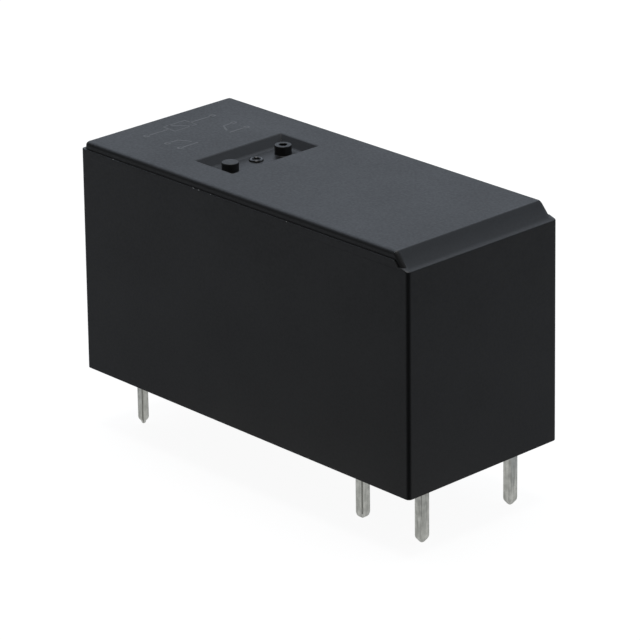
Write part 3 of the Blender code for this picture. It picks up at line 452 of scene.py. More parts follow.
def upper_body():
    """The roof and its band, stepped in from the walls, with rounded top edges."""
    low_x = -HALF_LENGTH + DRAFT + COIL_END_STEP
    half_y = HALF_WIDTH - DRAFT - BAND_STEP
    rings = []
    levels = [(LEDGE - BODY_SINK, 0.0), (LEDGE - FINE_RADIUS, 0.0)]
    levels += [
        (ROOF - EDGE_RADIUS * (1 - along), EDGE_RADIUS * (1 - across))
        for across, along in quarter_turn(EDGE_STEPS)
    ]
    for level, inset in levels:
        high_x = chamfer_x(max(level, LEDGE - FINE_RADIUS))
        x = (low_x + inset, high_x)
        y = (-half_y + inset, half_y - inset)
        rings.append(ring(level, x, y, (ROOF_CORNER - inset, ROOF_CORNER - inset)))
    return loft(rings)


# %% [markdown]
# The roof has a shallow recess with two round nibs. The far one is hollow: after soldering, its tip may be
# cut off to let the relay breathe. The walls of the recess slope at about 48 degrees and run out softly
# both ways, so its cutting tool is a stack of rounded rectangles: a fillet round the floor, the slope, and
# a rounding that rolls over into the roof. A low raised ring between the nibs stands where such mouldings
# carry a cavity mark.

# %% Hollow inside, recess and nibs
# Levels count up from the pin tips. The mark's radius is that of its middle line.
WALL = 0.8
INNER_ROOF = 18.1
INNER_LEDGE = 17.6
NIB_X = -4.88
NIB_Y = 2.19
NIB_RADIUS = 0.53
VENT_RADIUS = 0.25
NIB_EDGE = 0.05
RECESS_MIDDLE = (-4.84, -0.1)
RECESS_HALF = (1.69, 3.57)
RECESS_CORNER = 0.03
RECESS_DEPTH = 0.604
RECESS_RUN = 0.55
RECESS_EDGE = 0.2
RECESS_FOOT = 0.4
MARK_PLACE = (-5.18, 0.12)
MARK_RADIUS = 0.345
MARK_HALF = 0.12
MARK_STEPS = 8
NIB_STEPS = 4
RECESS_FLOOR = ROOF - RECESS_DEPTH
# Under the recess the roof hangs deeper, so that its floor is about as thick as the walls.
POCKET_FLOOR = 17.49
POCKET_HALF = (2.046, 3.926)
MARK_SINK = 0.2
NIB_SINK = 0.4
TOOL_PAST = 0.5  # how far a cutting tool runs past the face it cuts
MOUTH_PAST = 1  # how far the hollow's tool runs out below the rim


def cavity():
    """The space inside the shell, with its own slope under the chamfer."""
    x_low = -HALF_LENGTH + WALL
    high = HALF_LENGTH - WALL
    half_y = HALF_WIDTH - WALL
    inner_foot_x = CHAMFER_FOOT_X - WALL
    inner_top_x = inner_foot_x - (INNER_ROOF - INNER_LEDGE) * CHAMFER_RUN
    rings = []
    sections = [
        (RIM - MOUTH_PAST, -FINE_RADIUS, high + FINE_RADIUS), (RIM, -FINE_RADIUS, high + FINE_RADIUS),
        (RIM + FINE_RADIUS, 0, high), (INNER_LEDGE, DRAFT, high - DRAFT),
        (INNER_LEDGE, DRAFT, inner_foot_x), (INNER_ROOF, DRAFT, inner_top_x),
    ]
    for level, inset, high_x in sections:
        y = (-half_y + inset, half_y - inset)
        rings.append(ring(level, (x_low + inset, high_x), y, (CORNER_RADIUS, CORNER_RADIUS)))
    return loft(rings)


def recess_tool():
    """The recess as a cutting tool, from its floor up and over the rounding at the roof."""
    slope = math.atan2(RECESS_DEPTH, RECESS_RUN)
    turns = [slope * step / ARC_STEPS for step in range(ARC_STEPS + 1)]
    foot_end = RECESS_RUN + RECESS_FOOT * math.tan(slope / 2)
    edge_start = -RECESS_EDGE * math.tan(slope / 2)
    outline = [
        (foot_end - RECESS_FOOT * math.sin(turn), RECESS_FLOOR + RECESS_FOOT * (1 - math.cos(turn)))
        for turn in turns
    ]
    outline += [
        (edge_start + RECESS_EDGE * math.sin(turn), ROOF - RECESS_EDGE * (1 - math.cos(turn)))
        for turn in turns[::-1]
    ]
    outline.append((edge_start, ROOF + TOOL_PAST))
    rings = []
    for inset, level in outline:
        half_x, half_y = (half - inset for half in RECESS_HALF)
        x = (RECESS_MIDDLE[0] - half_x, RECESS_MIDDLE[0] + half_x)
        y = (RECESS_MIDDLE[1] - half_y, RECESS_MIDDLE[1] + half_y)
        rings.append(ring(level, x, y, (RECESS_CORNER, RECESS_CORNER)))
    return loft(rings)


def nib(side, crown):
    """One nib with a fillet at its root and a rounded top edge."""
    profile = [(0.0, RECESS_FLOOR - NIB_SINK), (NIB_RADIUS + NIB_EDGE, RECESS_FLOOR - NIB_SINK)]
    profile += [
        (NIB_RADIUS + NIB_EDGE * (1 - along), RECESS_FLOOR + NIB_EDGE * (1 - across))
        for across, along in quarter_turn(FINE_STEPS)
    ]
    profile += [
        (NIB_RADIUS - NIB_EDGE * (1 - across), ROOF - crown - NIB_EDGE * (1 - along))
        for across, along in quarter_turn(NIB_STEPS)
    ]
    profile.append((0.0, ROOF))
    return lathe(profile, (NIB_X, RECESS_MIDDLE[1] + side * NIB_Y))


# %% Put the cover together
def cavity_mark():
    """A low raised ring on the recess floor."""
    low, high = MARK_RADIUS - MARK_HALF, MARK_RADIUS + MARK_HALF
    profile = [(low, RECESS_FLOOR - MARK_SINK), (high, RECESS_FLOOR - MARK_SINK)]
    for step in range(MARK_STEPS + 1):
        turn = math.pi * step / MARK_STEPS
        profile.append((MARK_RADIUS + MARK_HALF * math.cos(turn), RECESS_FLOOR + MARK_HALF * math.sin(turn)))
    profile.append(profile[0])
    return lathe(profile, MARK_PLACE)


def build_cover():
    """The whole shell as one closed mesh."""
    hollow = scratch_object(cavity())
    pocket_x = (NIB_X - POCKET_HALF[0], NIB_X + POCKET_HALF[0])
    pocket_y = (-POCKET_HALF[1], POCKET_HALF[1])
    pocket = loft([ring(level, pocket_x, pocket_y, (SHARP, SHARP)) for level in (POCKET_FLOOR, ROOF)])
    combine(hollow, "DIFFERENCE", pocket)
    cover = scratch_object(lower_body())
    combine(cover, "UNION", upper_body())
    shape = bmesh.new()
    shape.from_mesh(hollow.data)
    bpy.data.objects.remove(hollow, do_unlink=True)
    combine(cover, "DIFFERENCE", shape, recess_tool())
    combine(cover, "UNION", nib(-1, 0.02), nib(1, 0.0))
    bore = [
        (0.0, POCKET_FLOOR - TOOL_PAST), (VENT_RADIUS, POCKET_FLOOR - TOOL_PAST),
        (VENT_RADIUS, ROOF - FINE_RADIUS), (VENT_RADIUS + FINE_RADIUS, ROOF),
        (VENT_RADIUS + FINE_RADIUS, ROOF + TOOL_PAST), (0.0, ROOF + TOOL_PAST),
    ]
    combine(cover, "DIFFERENCE", lathe(bore, (NIB_X, RECESS_MIDDLE[1] + NIB_Y)))
    dress(cover, cover_finish)
    make_piece("moulded_cover", cover, "housing", ["cover"])


def build_mark():
    """The cavity mark as its own piece, sunk into the recess floor."""
    mark = scratch_object(cavity_mark())
    dress(mark, engraved_finish)
    make_piece("cavity_mark", mark, "housing", None, 60)


build_cover()
build_mark()

# %% [markdown]
# ## Tinned pins
#
# The pins are punched from a copper alloy strip and hot dipped in tin. Punching rounds the edges, so a coil
# or moving pin shows two soft grey faces with a darker line between them, where the rounded edge mirrors
# dark: that line is painted shade in the tin's colour. The tin is satin: fine draw marks 0.09 mm apart run
# down the pin, and patches under a millimetre across show where the tin set thicker. Inside the relay the
# same parts widen into plates, and those come from a copy of the CAD node above the resin.

# %% Tin finish
def tinned_finish():
    """Hot-dipped tin on a punched copper alloy strip, with a dark line painted along the rounded edges for
    the dark they mirror.
    """
    material, tree, place = blank_material("hot_dipped_tin")
    down = add_node(tree, "ShaderNodeMapping", {"Vector": place, "Scale": (1, 1, 0.08)})
    drawn = add_node(tree, "ShaderNodeTexNoise", {
        "Vector": down.outputs[0], "Scale": per_metre(0.09), "Detail": 2.0,
    }).outputs["Fac"]
    patches = add_node(tree, "ShaderNodeTexNoise", {
        "Vector": place, "Scale": per_metre(0.5), "Detail": 3.0,
    }).outputs["Fac"]
    marks = add_node(tree, "ShaderNodeMath", {0: drawn, 1: patches}, operation="ADD").outputs[0]
    tone = add_node(tree, "ShaderNodeMapRange", {"Value": marks, "From Min": 0.75, "From Max": 1.25})
    tin = add_node(tree, "ShaderNodeMix", {
        0: tone.outputs[0], 6: linear("#c2c4be"), 7: linear("#eeefe9"),
    }, data_type="RGBA")
    # Painted shade: the edge attribute darkens the tin along its rounded edges, where they mirror dark.
    sheared = add_node(tree, "ShaderNodeAttribute", attribute_name="painted_dark_edge")
    line_strength = add_node(tree, "ShaderNodeMapRange", {
        "Value": patches, "From Min": 0.35, "From Max": 0.6, "To Min": 0.7, "To Max": 1.0,
    })
    dark_line = add_node(tree, "ShaderNodeMath", {
        0: sheared.outputs["Fac"], 1: line_strength.outputs[0],
    }, operation="MULTIPLY")
    colour = add_node(tree, "ShaderNodeMix", {
        0: dark_line.outputs[0], 6: tin.outputs[2], 7: linear("#6f6f69"),
    }, data_type="RGBA")
    gloss = add_node(tree, "ShaderNodeMapRange", {
        "Value": marks, "From Min": 0.75, "From Max": 1.25, "To Min": 0.42, "To Max": 0.26,
    })
    relief = add_node(tree, "ShaderNodeBump", {"Height": marks, "Distance": 0.008 * MM, "Strength": 0.7})
    shader = add_node(tree, "ShaderNodeBsdfPrincipled", {
        "Base Color": colour.outputs[2], "Metallic": 1.0, "Roughness": gloss.outputs[0],
        "Normal": relief.outputs[0],
    })
    add_node(tree, "ShaderNodeOutputMaterial", {"Surface": shader.outputs[0]})
    return material


tin_finish = tinned_finish()

# %% [markdown]
# A pin's end is a list of levels above its tip, each with its share of the full section. The coil pins are
# nipped off and keep a small nub, the moving pins are rounded, and the fixed pins are coined to a taper.
# Each point of a rounded edge also carries how far it lies into that edge. The tin finish reads this to paint
# its dark line, which stands for the dark that the edge mirrors: one share for the length of the pin and one
# for its end.

# %% Pins, from their tips up into the resin
POLE_Y = 3.75
TIP_RISE = 0.38
TIP_SHARE = 0.333
TIP_STEPS = 8
NUB = [
    (0.0, 0.24), (0.03, 0.34), (0.08, 0.4), (0.16, 0.45),
    (0.22, 0.62), (0.3, 0.84), (0.38, 0.96), (0.46, 1.0),
]
ROUNDED = [
    (TIP_RISE * (1 - along), TIP_SHARE + (1 - TIP_SHARE) * across)
    for along, across in quarter_turn(TIP_STEPS)
]
COINED = [(0.0, 0.24), (0.02, 0.32), (0.06, 0.42), (0.24, 0.8), (0.3, 0.9), (0.36, 0.96), (0.46, 1.0)]
PINS = {
    "coil": {"x": -12.04, "section": (0.5, 0.55), "end": NUB, "edge_line": (1.0, 1.0)},
    "moving": {"x": 7.96, "section": (0.6, 0.7), "end": ROUNDED, "edge_line": (1.0, 0.0)},
    "fixed": {"x": 12.96, "section": (0.6, 0.7), "end": COINED, "edge_line": (0.0, 0.0)},
}
PIN_EDGE = 0.085
JOIN_LEVEL = 4.9


def pin_shape(x, y, top, kind):
    """A punched pin with rounded edges and a shaped end."""
    sections = []
    for level, share in kind["end"] + [(top, 1.0)]:
        half_x, half_y = (size / 2 * share for size in kind["section"])
        edge = PIN_EDGE * share
        sections.append(ring(level, (x - half_x, x + half_x), (y - half_y, y + half_y), (edge, edge)))
    shape = loft(sections)
    into_edge = shape.verts.layers.float.new("painted_dark_edge")
    for index, vert in enumerate(shape.verts):
        across = index % (CORNER_STEPS + 1) / CORNER_STEPS
        depth = kind["edge_line"][vert.co.z < kind["end"][-1][0] - FINE_RADIUS]
        vert[into_edge] = depth * math.sin(math.pi * across)
    return shape


def part_above(node, level):
    """A millimetre copy of a CAD node's mesh above a level, closed where it was cut."""
    shape = bmesh.new()
    shape.from_mesh(nodes[node].data)
    bmesh.ops.scale(shape, vec=(1 / MM,) * 3, verts=shape.verts)
    bmesh.ops.remove_doubles(shape, verts=shape.verts, dist=1e-4)
    cut = bmesh.ops.bisect_plane(
        shape, geom=shape.verts[:] + shape.edges[:] + shape.faces[:], dist=1e-5,
        plane_co=(0, 0, level), plane_no=(0, 0, -1), clear_outer=True,
    )
    rim = [part for part in cut["geom_cut"] if isinstance(part, bmesh.types.BMEdge)]
    bmesh.ops.holes_fill(shape, edges=rim)
    return shape


def add_shape(item, shape):
    """Adds a closed shape to an object's mesh, as a shell of its own."""
    shape.from_mesh(item.data)
    shape.to_mesh(item.data)
    shape.free()


def build_pins():
    """All six terminals, each standing for its CAD node."""
    for word, side in (("near", -1), ("far", 1)):
        for row, kind in PINS.items():
            node = f"{row}_terminal_{word}"
            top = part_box(node)[1].z / MM if row == "coil" else JOIN_LEVEL
            item = scratch_object(pin_shape(kind["x"], side * POLE_Y, top, kind))
            if row != "coil":
                add_shape(item, part_above(node, JOIN_LEVEL))
            dress(item, tin_finish)
            make_piece(f"tinned_{row}_pin_{word}", item, "housing", [node])


build_pins()

# %% [markdown]
# ## Poured resin
#
# After assembly the mouth of the cover is sealed with a thin layer of epoxy, poured with the relay upside
# down. Before it sets, it creeps up whatever it wets: the walls of the cover, the pins and the feet. That
# rise follows a simple rule, so Geometry Nodes make it: a fine grid whose height drops off with the
# distance to the nearest wetted surface.

# %% Resin finish
def resin_finish():
    """Black potting epoxy: glossy, with a slow ripple and a few fine pits."""
    material, tree, place = blank_material("black_potting_epoxy")
    ripple = add_node(tree, "ShaderNodeTexNoise", {
        "Vector": place, "Scale": per_metre(2.5), "Detail": 2.0,
    }).outputs["Fac"]
    pits = add_node(tree, "ShaderNodeTexNoise", {
        "Vector": place, "Scale": per_metre(0.22), "Detail": 2.0,
    }).outputs["Fac"]
    colour = add_node(tree, "ShaderNodeMix", {
        0: ripple, 6: linear("#1d1d1e"), 7: linear("#262627"),
    }, data_type="RGBA")
    gloss = add_node(tree, "ShaderNodeMapRange", {
        "Value": pits, "From Min": 0.3, "From Max": 0.7, "To Min": 0.2, "To Max": 0.34,
    })
    height = add_node(tree, "ShaderNodeMath", {0: pits, 1: 0.3, 2: ripple}, operation="MULTIPLY_ADD")
    relief = add_node(tree, "ShaderNodeBump", {
        "Height": height.outputs[0], "Distance": 0.05 * MM, "Strength": 0.5,
    })
    shader = add_node(tree, "ShaderNodeBsdfPrincipled", {
        "Base Color": colour.outputs[2], "Roughness": gloss.outputs[0], "Normal": relief.outputs[0],
    })
    add_node(tree, "ShaderNodeOutputMaterial", {"Surface": shader.outputs[0]})
    return material


potting_finish = resin_finish()

# %% [markdown]
# The tree takes the resin's level, how high it creeps and how far out that reaches. It samples the distance
# to the walls, pins and feet with Geometry Proximity, and pushes each point of the grid down by a share
# that falls off with that distance. The relay stands the right way up here, so the creep points down.

# %% A tree helper, and the resin's tree
def new_tree(name, sockets):
    """A Geometry Nodes tree with a geometry input and output and the named inputs."""
    tree = bpy.data.node_groups.new(name, "GeometryNodeTree")
    tree.interface.new_socket("Geometry", in_out="OUTPUT", socket_type="NodeSocketGeometry")
    tree.interface.new_socket("Geometry", in_out="INPUT", socket_type="NodeSocketGeometry")
    for label, kind in sockets:
        tree.interface.new_socket(label, in_out="INPUT", socket_type=kind)
    return tree, add_node(tree, "NodeGroupInput")


def close_tree(tree, geometry, material):
    """Ends a tree in Realize Instances and Set Material."""
    real = add_node(tree, "GeometryNodeRealizeInstances", {"Geometry": geometry})
    dressed = add_node(tree, "GeometryNodeSetMaterial", {"Geometry": real.outputs[0], "Material": material})
    add_node(tree, "NodeGroupOutput", {0: dressed.outputs[0]})


def grow(item, tree, values):
    """Runs a tree on an object with its inputs set by identifier, and keeps the result as a mesh."""
    change = item.modifiers.new("grow", "NODES")
    change.node_group = tree
    for socket in tree.interface.items_tree:
        if socket.in_out == "INPUT" and socket.name in values:
            change[socket.identifier] = values[socket.name]
    bake_modifiers(item)


def resin_tree():
    """Pushes each point of a grid down by how near it is to a wetted surface."""
    tree, given = new_tree("resin_creep", [
        ("Wetted", "NodeSocketObject"), ("Creep", "NodeSocketFloat"), ("Reach", "NodeSocketFloat"),
    ])
    wetted = add_node(tree, "GeometryNodeObjectInfo", {"Object": given.outputs["Wetted"]})
    near = add_node(tree, "GeometryNodeProximity", {0: wetted.outputs["Geometry"]}, target_element="FACES")
    share = add_node(tree, "ShaderNodeMath", {
        0: near.outputs["Distance"], 1: given.outputs["Reach"],
    }, operation="DIVIDE")
    faded = add_node(tree, "ShaderNodeMath", {0: share.outputs[0], 1: -1.0}, operation="MULTIPLY")
    fall = add_node(tree, "ShaderNodeMath", {0: faded.outputs[0]}, operation="EXPONENT")
    drop = add_node(tree, "ShaderNodeMath", {
        0: fall.outputs[0], 1: given.outputs["Creep"],
    }, operation="MULTIPLY")
    down = add_node(tree, "ShaderNodeMath", {0: drop.outputs[0], 1: -1.0}, operation="MULTIPLY")
    offset = add_node(tree, "ShaderNodeCombineXYZ", {"Z": down.outputs[0]})
    moved = add_node(tree, "GeometryNodeSetPosition", {
        "Geometry": given.outputs["Geometry"], "Offset": offset.outputs[0],
    })
    close_tree(tree, moved.outputs[0], potting_finish)
    return tree


# %% Pour the resin
RESIN_LEVEL = 4.05
RESIN_TOP = 4.38
RESIN_CREEP = 0.14
RESIN_REACH = 0.16
RESIN_GAP = 0.005
WETTED_TOP = 5.0
FEET_X = ((-10.14, -8.54), (9.66, 11.26))
FEET_Y = (4.25, 5.15)
GRID_STEP = 0.12


def wetted_surfaces():
    """Walls, pins and feet as one helper mesh of upright faces round the resin."""
    shape = bmesh.new()
    outlines = [((-HALF_LENGTH + WALL, HALF_LENGTH - WALL), (-HALF_WIDTH + WALL, HALF_WIDTH - WALL))]
    for side in (-1, 1):
        for kind in PINS.values():
            half = [size / 2 for size in kind["section"]]
            x, y = kind["x"], side * POLE_Y
            outlines.append(((x - half[0], x + half[0]), (y - half[1], y + half[1])))
        for foot_x in FEET_X:
            outlines.append((foot_x, tuple(sorted((side * FEET_Y[0], side * FEET_Y[1])))))
    for x, y in outlines:
        corners = [(x[0], y[0]), (x[1], y[0]), (x[1], y[1]), (x[0], y[1])]
        for start, end in zip(corners, corners[1:] + corners[:1]):
            upright = [(*start, RIM), (*end, RIM), (*end, WETTED_TOP), (*start, WETTED_TOP)]
            shape.faces.new([shape.verts.new(point) for point in upright])
    return object_from("wetted", shape)


def in_order(place):
    """One number that sorts places by height, then Y, then X. A sweep adds its sides in no fixed order."""
    return (place.z * 1000 + place.y) * 1000 + place.x


def pour_resin():
    """A fine grid shaped by the creep, closed into a slab whose faces are in a fixed order."""
    half_x = HALF_LENGTH - WALL - RESIN_GAP
    half_y = HALF_WIDTH - WALL - RESIN_GAP
    columns = round(2 * half_x / GRID_STEP)
    rows = round(2 * half_y / GRID_STEP)
    shape = bmesh.new()
    bmesh.ops.create_grid(
        shape, x_segments=columns, y_segments=rows, size=1,
        matrix=Matrix.Translation((0, 0, RESIN_LEVEL)) @ Matrix.Diagonal((half_x, half_y, 1, 1)),
    )
    resin = object_from("resin", shape)
    wetted = wetted_surfaces()
    grow(resin, resin_tree(), {"Wetted": wetted, "Creep": RESIN_CREEP, "Reach": RESIN_REACH})
    bpy.data.objects.remove(wetted, do_unlink=True)
    shape = bmesh.new()
    shape.from_mesh(resin.data)
    swept = bmesh.ops.extrude_face_region(shape, geom=shape.faces[:])
    for part in swept["geom"]:
        if isinstance(part, bmesh.types.BMVert):
            part.co.z = RESIN_TOP
    bmesh.ops.recalc_face_normals(shape, faces=shape.faces)
    shape.faces.sort(key=lambda face: in_order(face.calc_center_median()))
    shape.verts.sort(key=lambda vert: in_order(vert.co))
    shape.to_mesh(resin.data)
    shape.free()
    make_piece("poured_resin", resin, "housing", ["sealing_resin"], 60)


pour_resin()

# %% [markdown]
# ## The wound coil
#
# The magnet's coil is enamelled copper wire, wound in even layers. Only its outer layer shows, so that layer
# is a real helix and the rest is one solid core under it. Real wire here is under 0.1 mm thick; the turns
# are drawn at 0.16 mm, so that they still read as turns. A helix repeats by rule, so Geometry Nodes wind
# it: a spiral curve with a round profile.

# %% Enamelled wire finish
def wire_finish():
    """Enamelled copper: a clear warm lacquer over bright metal, thicker in some places than in others."""
    material, tree, place = blank_material("enamelled_copper_wire")
    lacquer = add_node(tree, "ShaderNodeTexNoise", {
        "Vector": place, "Scale": per_metre(1.2), "Detail": 2.0,
    }).outputs["Fac"]
    ripple = add_node(tree, "ShaderNodeTexNoise", {"Vector": place, "Scale": per_metre(0.08), "Detail": 2.0})
    colour = add_node(tree, "ShaderNodeMix", {
        0: lacquer, 6: linear("#a4582c"), 7: linear("#c4723c"),
    }, data_type="RGBA")
    gloss = add_node(tree, "ShaderNodeMapRange", {
        "Value": lacquer, "From Min": 0.3, "From Max": 0.7, "To Min": 0.24, "To Max": 0.34,
    })
    relief = add_node(tree, "ShaderNodeBump", {
        "Height": ripple.outputs["Fac"], "Distance": 0.003 * MM, "Strength": 0.5,
    })
    shader = add_node(tree, "ShaderNodeBsdfPrincipled", {
        "Base Color": colour.outputs[2], "Metallic": 1.0, "Roughness": gloss.outputs[0],
        "Normal": relief.outputs[0], "Coat Weight": 0.6, "Coat Roughness": 0.12,
    })
    add_node(tree, "ShaderNodeOutputMaterial", {"Surface": shader.outputs[0]})
    return material


copper_finish = wire_finish()

# %% The coil's tree
def coil_tree():
    """Winds a wire along a helix of equal turns."""
    tree, given = new_tree("wound_layer", [
        ("Wire", "NodeSocketFloat"), ("Radius", "NodeSocketFloat"), ("Length", "NodeSocketFloat"),
        ("Turns", "NodeSocketFloat"),
    ])
    middle = add_node(tree, "ShaderNodeMath", {
        0: given.outputs["Radius"], 1: given.outputs["Wire"],
    }, operation="SUBTRACT")
    helix = add_node(tree, "GeometryNodeCurveSpiral", {
        "Resolution": 40, "Rotations": given.outputs["Turns"], "Start Radius": middle.outputs[0],
        "End Radius": middle.outputs[0], "Height": given.outputs["Length"],
    })
    wire = add_node(tree, "GeometryNodeCurvePrimitiveCircle", {
        "Resolution": 6, "Radius": given.outputs["Wire"],
    })
    turns = add_node(tree, "GeometryNodeCurveToMesh", {
        "Curve": helix.outputs[0], "Profile Curve": wire.outputs[0], "Fill Caps": True,
    })
    close_tree(tree, turns.outputs[0], copper_finish)
    return tree


# %% Wind the coil and wrap its leads
COIL_X = (-9.77, 1.617)
COIL_AXIS = 11.3747
COIL_RADIUS = 4.033
TUBE_RADIUS = 2.282
WIRE_RADIUS = 0.08
LAYER_DROP = 1.6 * WIRE_RADIUS  # from the crests of the outer layer down to the wire under it
END_TAPER = 0.2
TUBE_GAP = 0.05
WRAP_RADIUS = 0.51
WRAP_LEVELS = (8.8, 9.1)
WRAP_TURNS = 2.75
WRAP_STEPS = 16
LEAD_LEVEL = 8.95
LEAD_Y = 2.95
LEAD_X = (-10.72, -9.4)


def wire_run(points, radius, sides=8):
    """A wire swept along points, as a closed shape."""
    sections = []
    for index, point in enumerate(points):
        ahead = points[min(index + 1, len(points) - 1)] - points[max(index - 1, 0)]
        turn = ahead.to_track_quat("Z", "Y").to_matrix()
        sections.append([
            point + turn @ Vector((
                radius * math.cos(math.tau * step / sides), radius * math.sin(math.tau * step / sides), 0,
            ))
            for step in range(sides)
        ])
    return loft(sections)


def layer_under():
    """The wire below the outer layer, as one tube along X."""
    inner = TUBE_RADIUS + TUBE_GAP
    outer = COIL_RADIUS - LAYER_DROP
    profile = [
        (inner, COIL_X[0]), (outer - END_TAPER, COIL_X[0]), (outer, COIL_X[0] + END_TAPER),
        (outer, COIL_X[1] - END_TAPER), (outer - END_TAPER, COIL_X[1]), (inner, COIL_X[1]),
        (inner, COIL_X[0]),
    ]
    shape = lathe(profile, (0, 0))
    bmesh.ops.rotate(shape, verts=shape.verts, matrix=Matrix.Rotation(math.pi / 2, 3, "Y"))
    bmesh.ops.translate(shape, verts=shape.verts, vec=(0, 0, COIL_AXIS))
    return shape


def lead(side):
    """One lead, from the winding through its flange notch to the wraps round the coil pin."""
    pin_x = PINS["coil"]["x"]
    points = [Vector((x, side * LEAD_Y, LEAD_LEVEL)) for x in LEAD_X[::-1]]
    steps = round(WRAP_STEPS * WRAP_TURNS)
    for step in range(steps + 1):
        share = step / steps
        angle = side * (math.tau * WRAP_TURNS * share - math.pi / 2)
        level = WRAP_LEVELS[0] + (WRAP_LEVELS[1] - WRAP_LEVELS[0]) * share
        points.append(Vector((
            pin_x + WRAP_RADIUS * math.cos(angle), side * POLE_Y + WRAP_RADIUS * math.sin(angle), level,
        )))
    return wire_run(points, WIRE_RADIUS)


def wind_coil():
    """The outer layer as a helix, the wire under it, and both leads."""
    coil = add_object("coil", bpy.data.meshes.new("coil"))
    length = COIL_X[1] - COIL_X[0] - 2 * END_TAPER - 2 * WIRE_RADIUS
    grow(coil, coil_tree(), {
        "Wire": WIRE_RADIUS, "Radius": COIL_RADIUS, "Length": length,
        "Turns": float(round(length / (2 * WIRE_RADIUS))),
    })
    start = Vector((COIL_X[0] + END_TAPER + WIRE_RADIUS, 0, COIL_AXIS))
    coil.data.transform(Matrix.Translation(start) @ Matrix.Rotation(math.pi / 2, 4, "Y"))
    for shape in (layer_under(), lead(-1), lead(1)):
        add_shape(coil, shape)
    make_piece("wound_coil", coil, "housing", ["coil_winding"], 60)


wind_coil()

# %% [markdown]
# ## Flash on the parting line, and a painted glint
#
# Where the two halves of the mould meet, a little plastic squeezes out and is left as flash: a few slivers
# 0.06 mm thick and up to 0.3 mm long, paler where they were bent over. They catch the light along the near
# edge. One more pale lump of the same finish sits at the near corner of the roof, where the chamfer starts:
# it is a painted glint, standing for that corner's highlight. A cloud of points says where they sit and how
# long they are, and Geometry Nodes put a small lump on each point with a seeded random turn.

# %% Finish of the flash and the painted glint, and the tree
# The pale finish serves the flash slivers and also paints the glint at the roof corner.
flash_and_glint_finish = moulded_plastic("whitened_flash_and_painted_glint", "#77787a", "#a3a3a1", 0.4, 1.0, 0.05, 0.002)
FLASH_SEED = 11
FLASH_SIZE = 0.028
FLASH_TURN = (0.35, 0.25, 0.12)  # radians about X, Y and Z, either way


def flash_tree():
    """Puts a stretched lump on each point, with a seeded random turn."""
    tree, given = new_tree("flash_and_glint_lumps", [("Size", "NodeSocketFloat"), ("Seed", "NodeSocketInt")])
    lump = add_node(tree, "GeometryNodeMeshIcoSphere", {"Radius": given.outputs["Size"], "Subdivisions": 1})
    stretch = add_node(tree, "GeometryNodeInputNamedAttribute", {"Name": "stretch"}, data_type="FLOAT_VECTOR")
    turn = add_node(tree, "FunctionNodeRandomValue", {
        0: [-angle for angle in FLASH_TURN], 1: FLASH_TURN, "Seed": given.outputs["Seed"],
    }, data_type="FLOAT_VECTOR")
    placed = add_node(tree, "GeometryNodeInstanceOnPoints", {
        "Points": given.outputs["Geometry"], "Instance": lump.outputs["Mesh"],
        "Rotation": turn.outputs[0], "Scale": stretch.outputs[0],
    })
    close_tree(tree, placed.outputs[0], flash_and_glint_finish)
    return tree


# %% Leave the flash and the painted glint
NEAR_SLIVERS = [(-11.28, 2.2), (-3.9, 5.0), (-3.45, 3.4), (-2.38, 2.4), (4.24, 2.0)]
FAR_SLIVERS = 7
FAR_SPAN = (-13.5, 12.5)
FAR_STRETCH = (1.5, 4.5)
END_SLIVERS = 3
END_SPAN = (-5.5, 5.5)
END_STRETCH = (1.5, 4.0)
SIDE_SINK = 0.02
END_SINK = 0.03
GLINT_SINK = 0.05
FLASH_LEVEL = BAND_FOOT - 0.01


def flash_and_glint_points():
    """Places of the slivers and of the painted glint, and their stretch along X, Y and Z."""
    draw = random.Random(FLASH_SEED)
    half_y = HALF_WIDTH - DRAFT - SIDE_SINK
    found = [((x, -half_y, FLASH_LEVEL), (length, 0.8, 1.1)) for x, length in NEAR_SLIVERS]
    for _ in range(FAR_SLIVERS):
        place = (draw.uniform(*FAR_SPAN), half_y, FLASH_LEVEL)
        found.append((place, (draw.uniform(*FAR_STRETCH), 0.8, 1.0)))
    for _ in range(END_SLIVERS):
        place = (-HALF_LENGTH + DRAFT + END_SINK, draw.uniform(*END_SPAN), FLASH_LEVEL)
        found.append((place, (0.8, draw.uniform(*END_STRETCH), 1.0)))
    # A pale lump at the near corner of the roof: a painted glint in place of the corner's highlight.
    painted_glint = (CHAMFER_TOP_X - GLINT_SINK, -half_y + BAND_STEP + SIDE_SINK, ROOF - GLINT_SINK)
    found.append((painted_glint, (1.3, 1.1, 1.1)))
    return found


def leave_flash_and_glint():
    """The slivers and the painted glint as one piece."""
    found = flash_and_glint_points()
    mesh = bpy.data.meshes.new("flash")
    mesh.from_pydata([place for place, _ in found], [], [])
    stretch = mesh.attributes.new("stretch", "FLOAT_VECTOR", "POINT")
    stretch.data.foreach_set("vector", [value for _, size in found for value in size])
    flash = add_object("flash", mesh)
    grow(flash, flash_tree(), {"Size": FLASH_SIZE, "Seed": FLASH_SEED})
    make_piece("parting_line_flash", flash, "housing", None, 20)


leave_flash_and_glint()

# %% [markdown]
# ## Laser marking
#
# Relays are marked by a laser that foams the black plastic to a slightly paler, duller grey, stroke by
# stroke. The marking here is generic: the usual wiring symbol of a coil and two make contacts, with a dot
# for each pin. The strokes are drawn as lines, and Geometry Nodes lay a flat ribbon along each, three
# thousandths of a millimetre proud of the roof.

# %% Marking finish and tree
mark_finish = moulded_plastic("laser_foamed_plastic", "#474849", "#535453", 0.5, 2.0, 0.1, 0.003)
STROKE_WIDTH = 0.13
STROKE_HEIGHT = 0.006


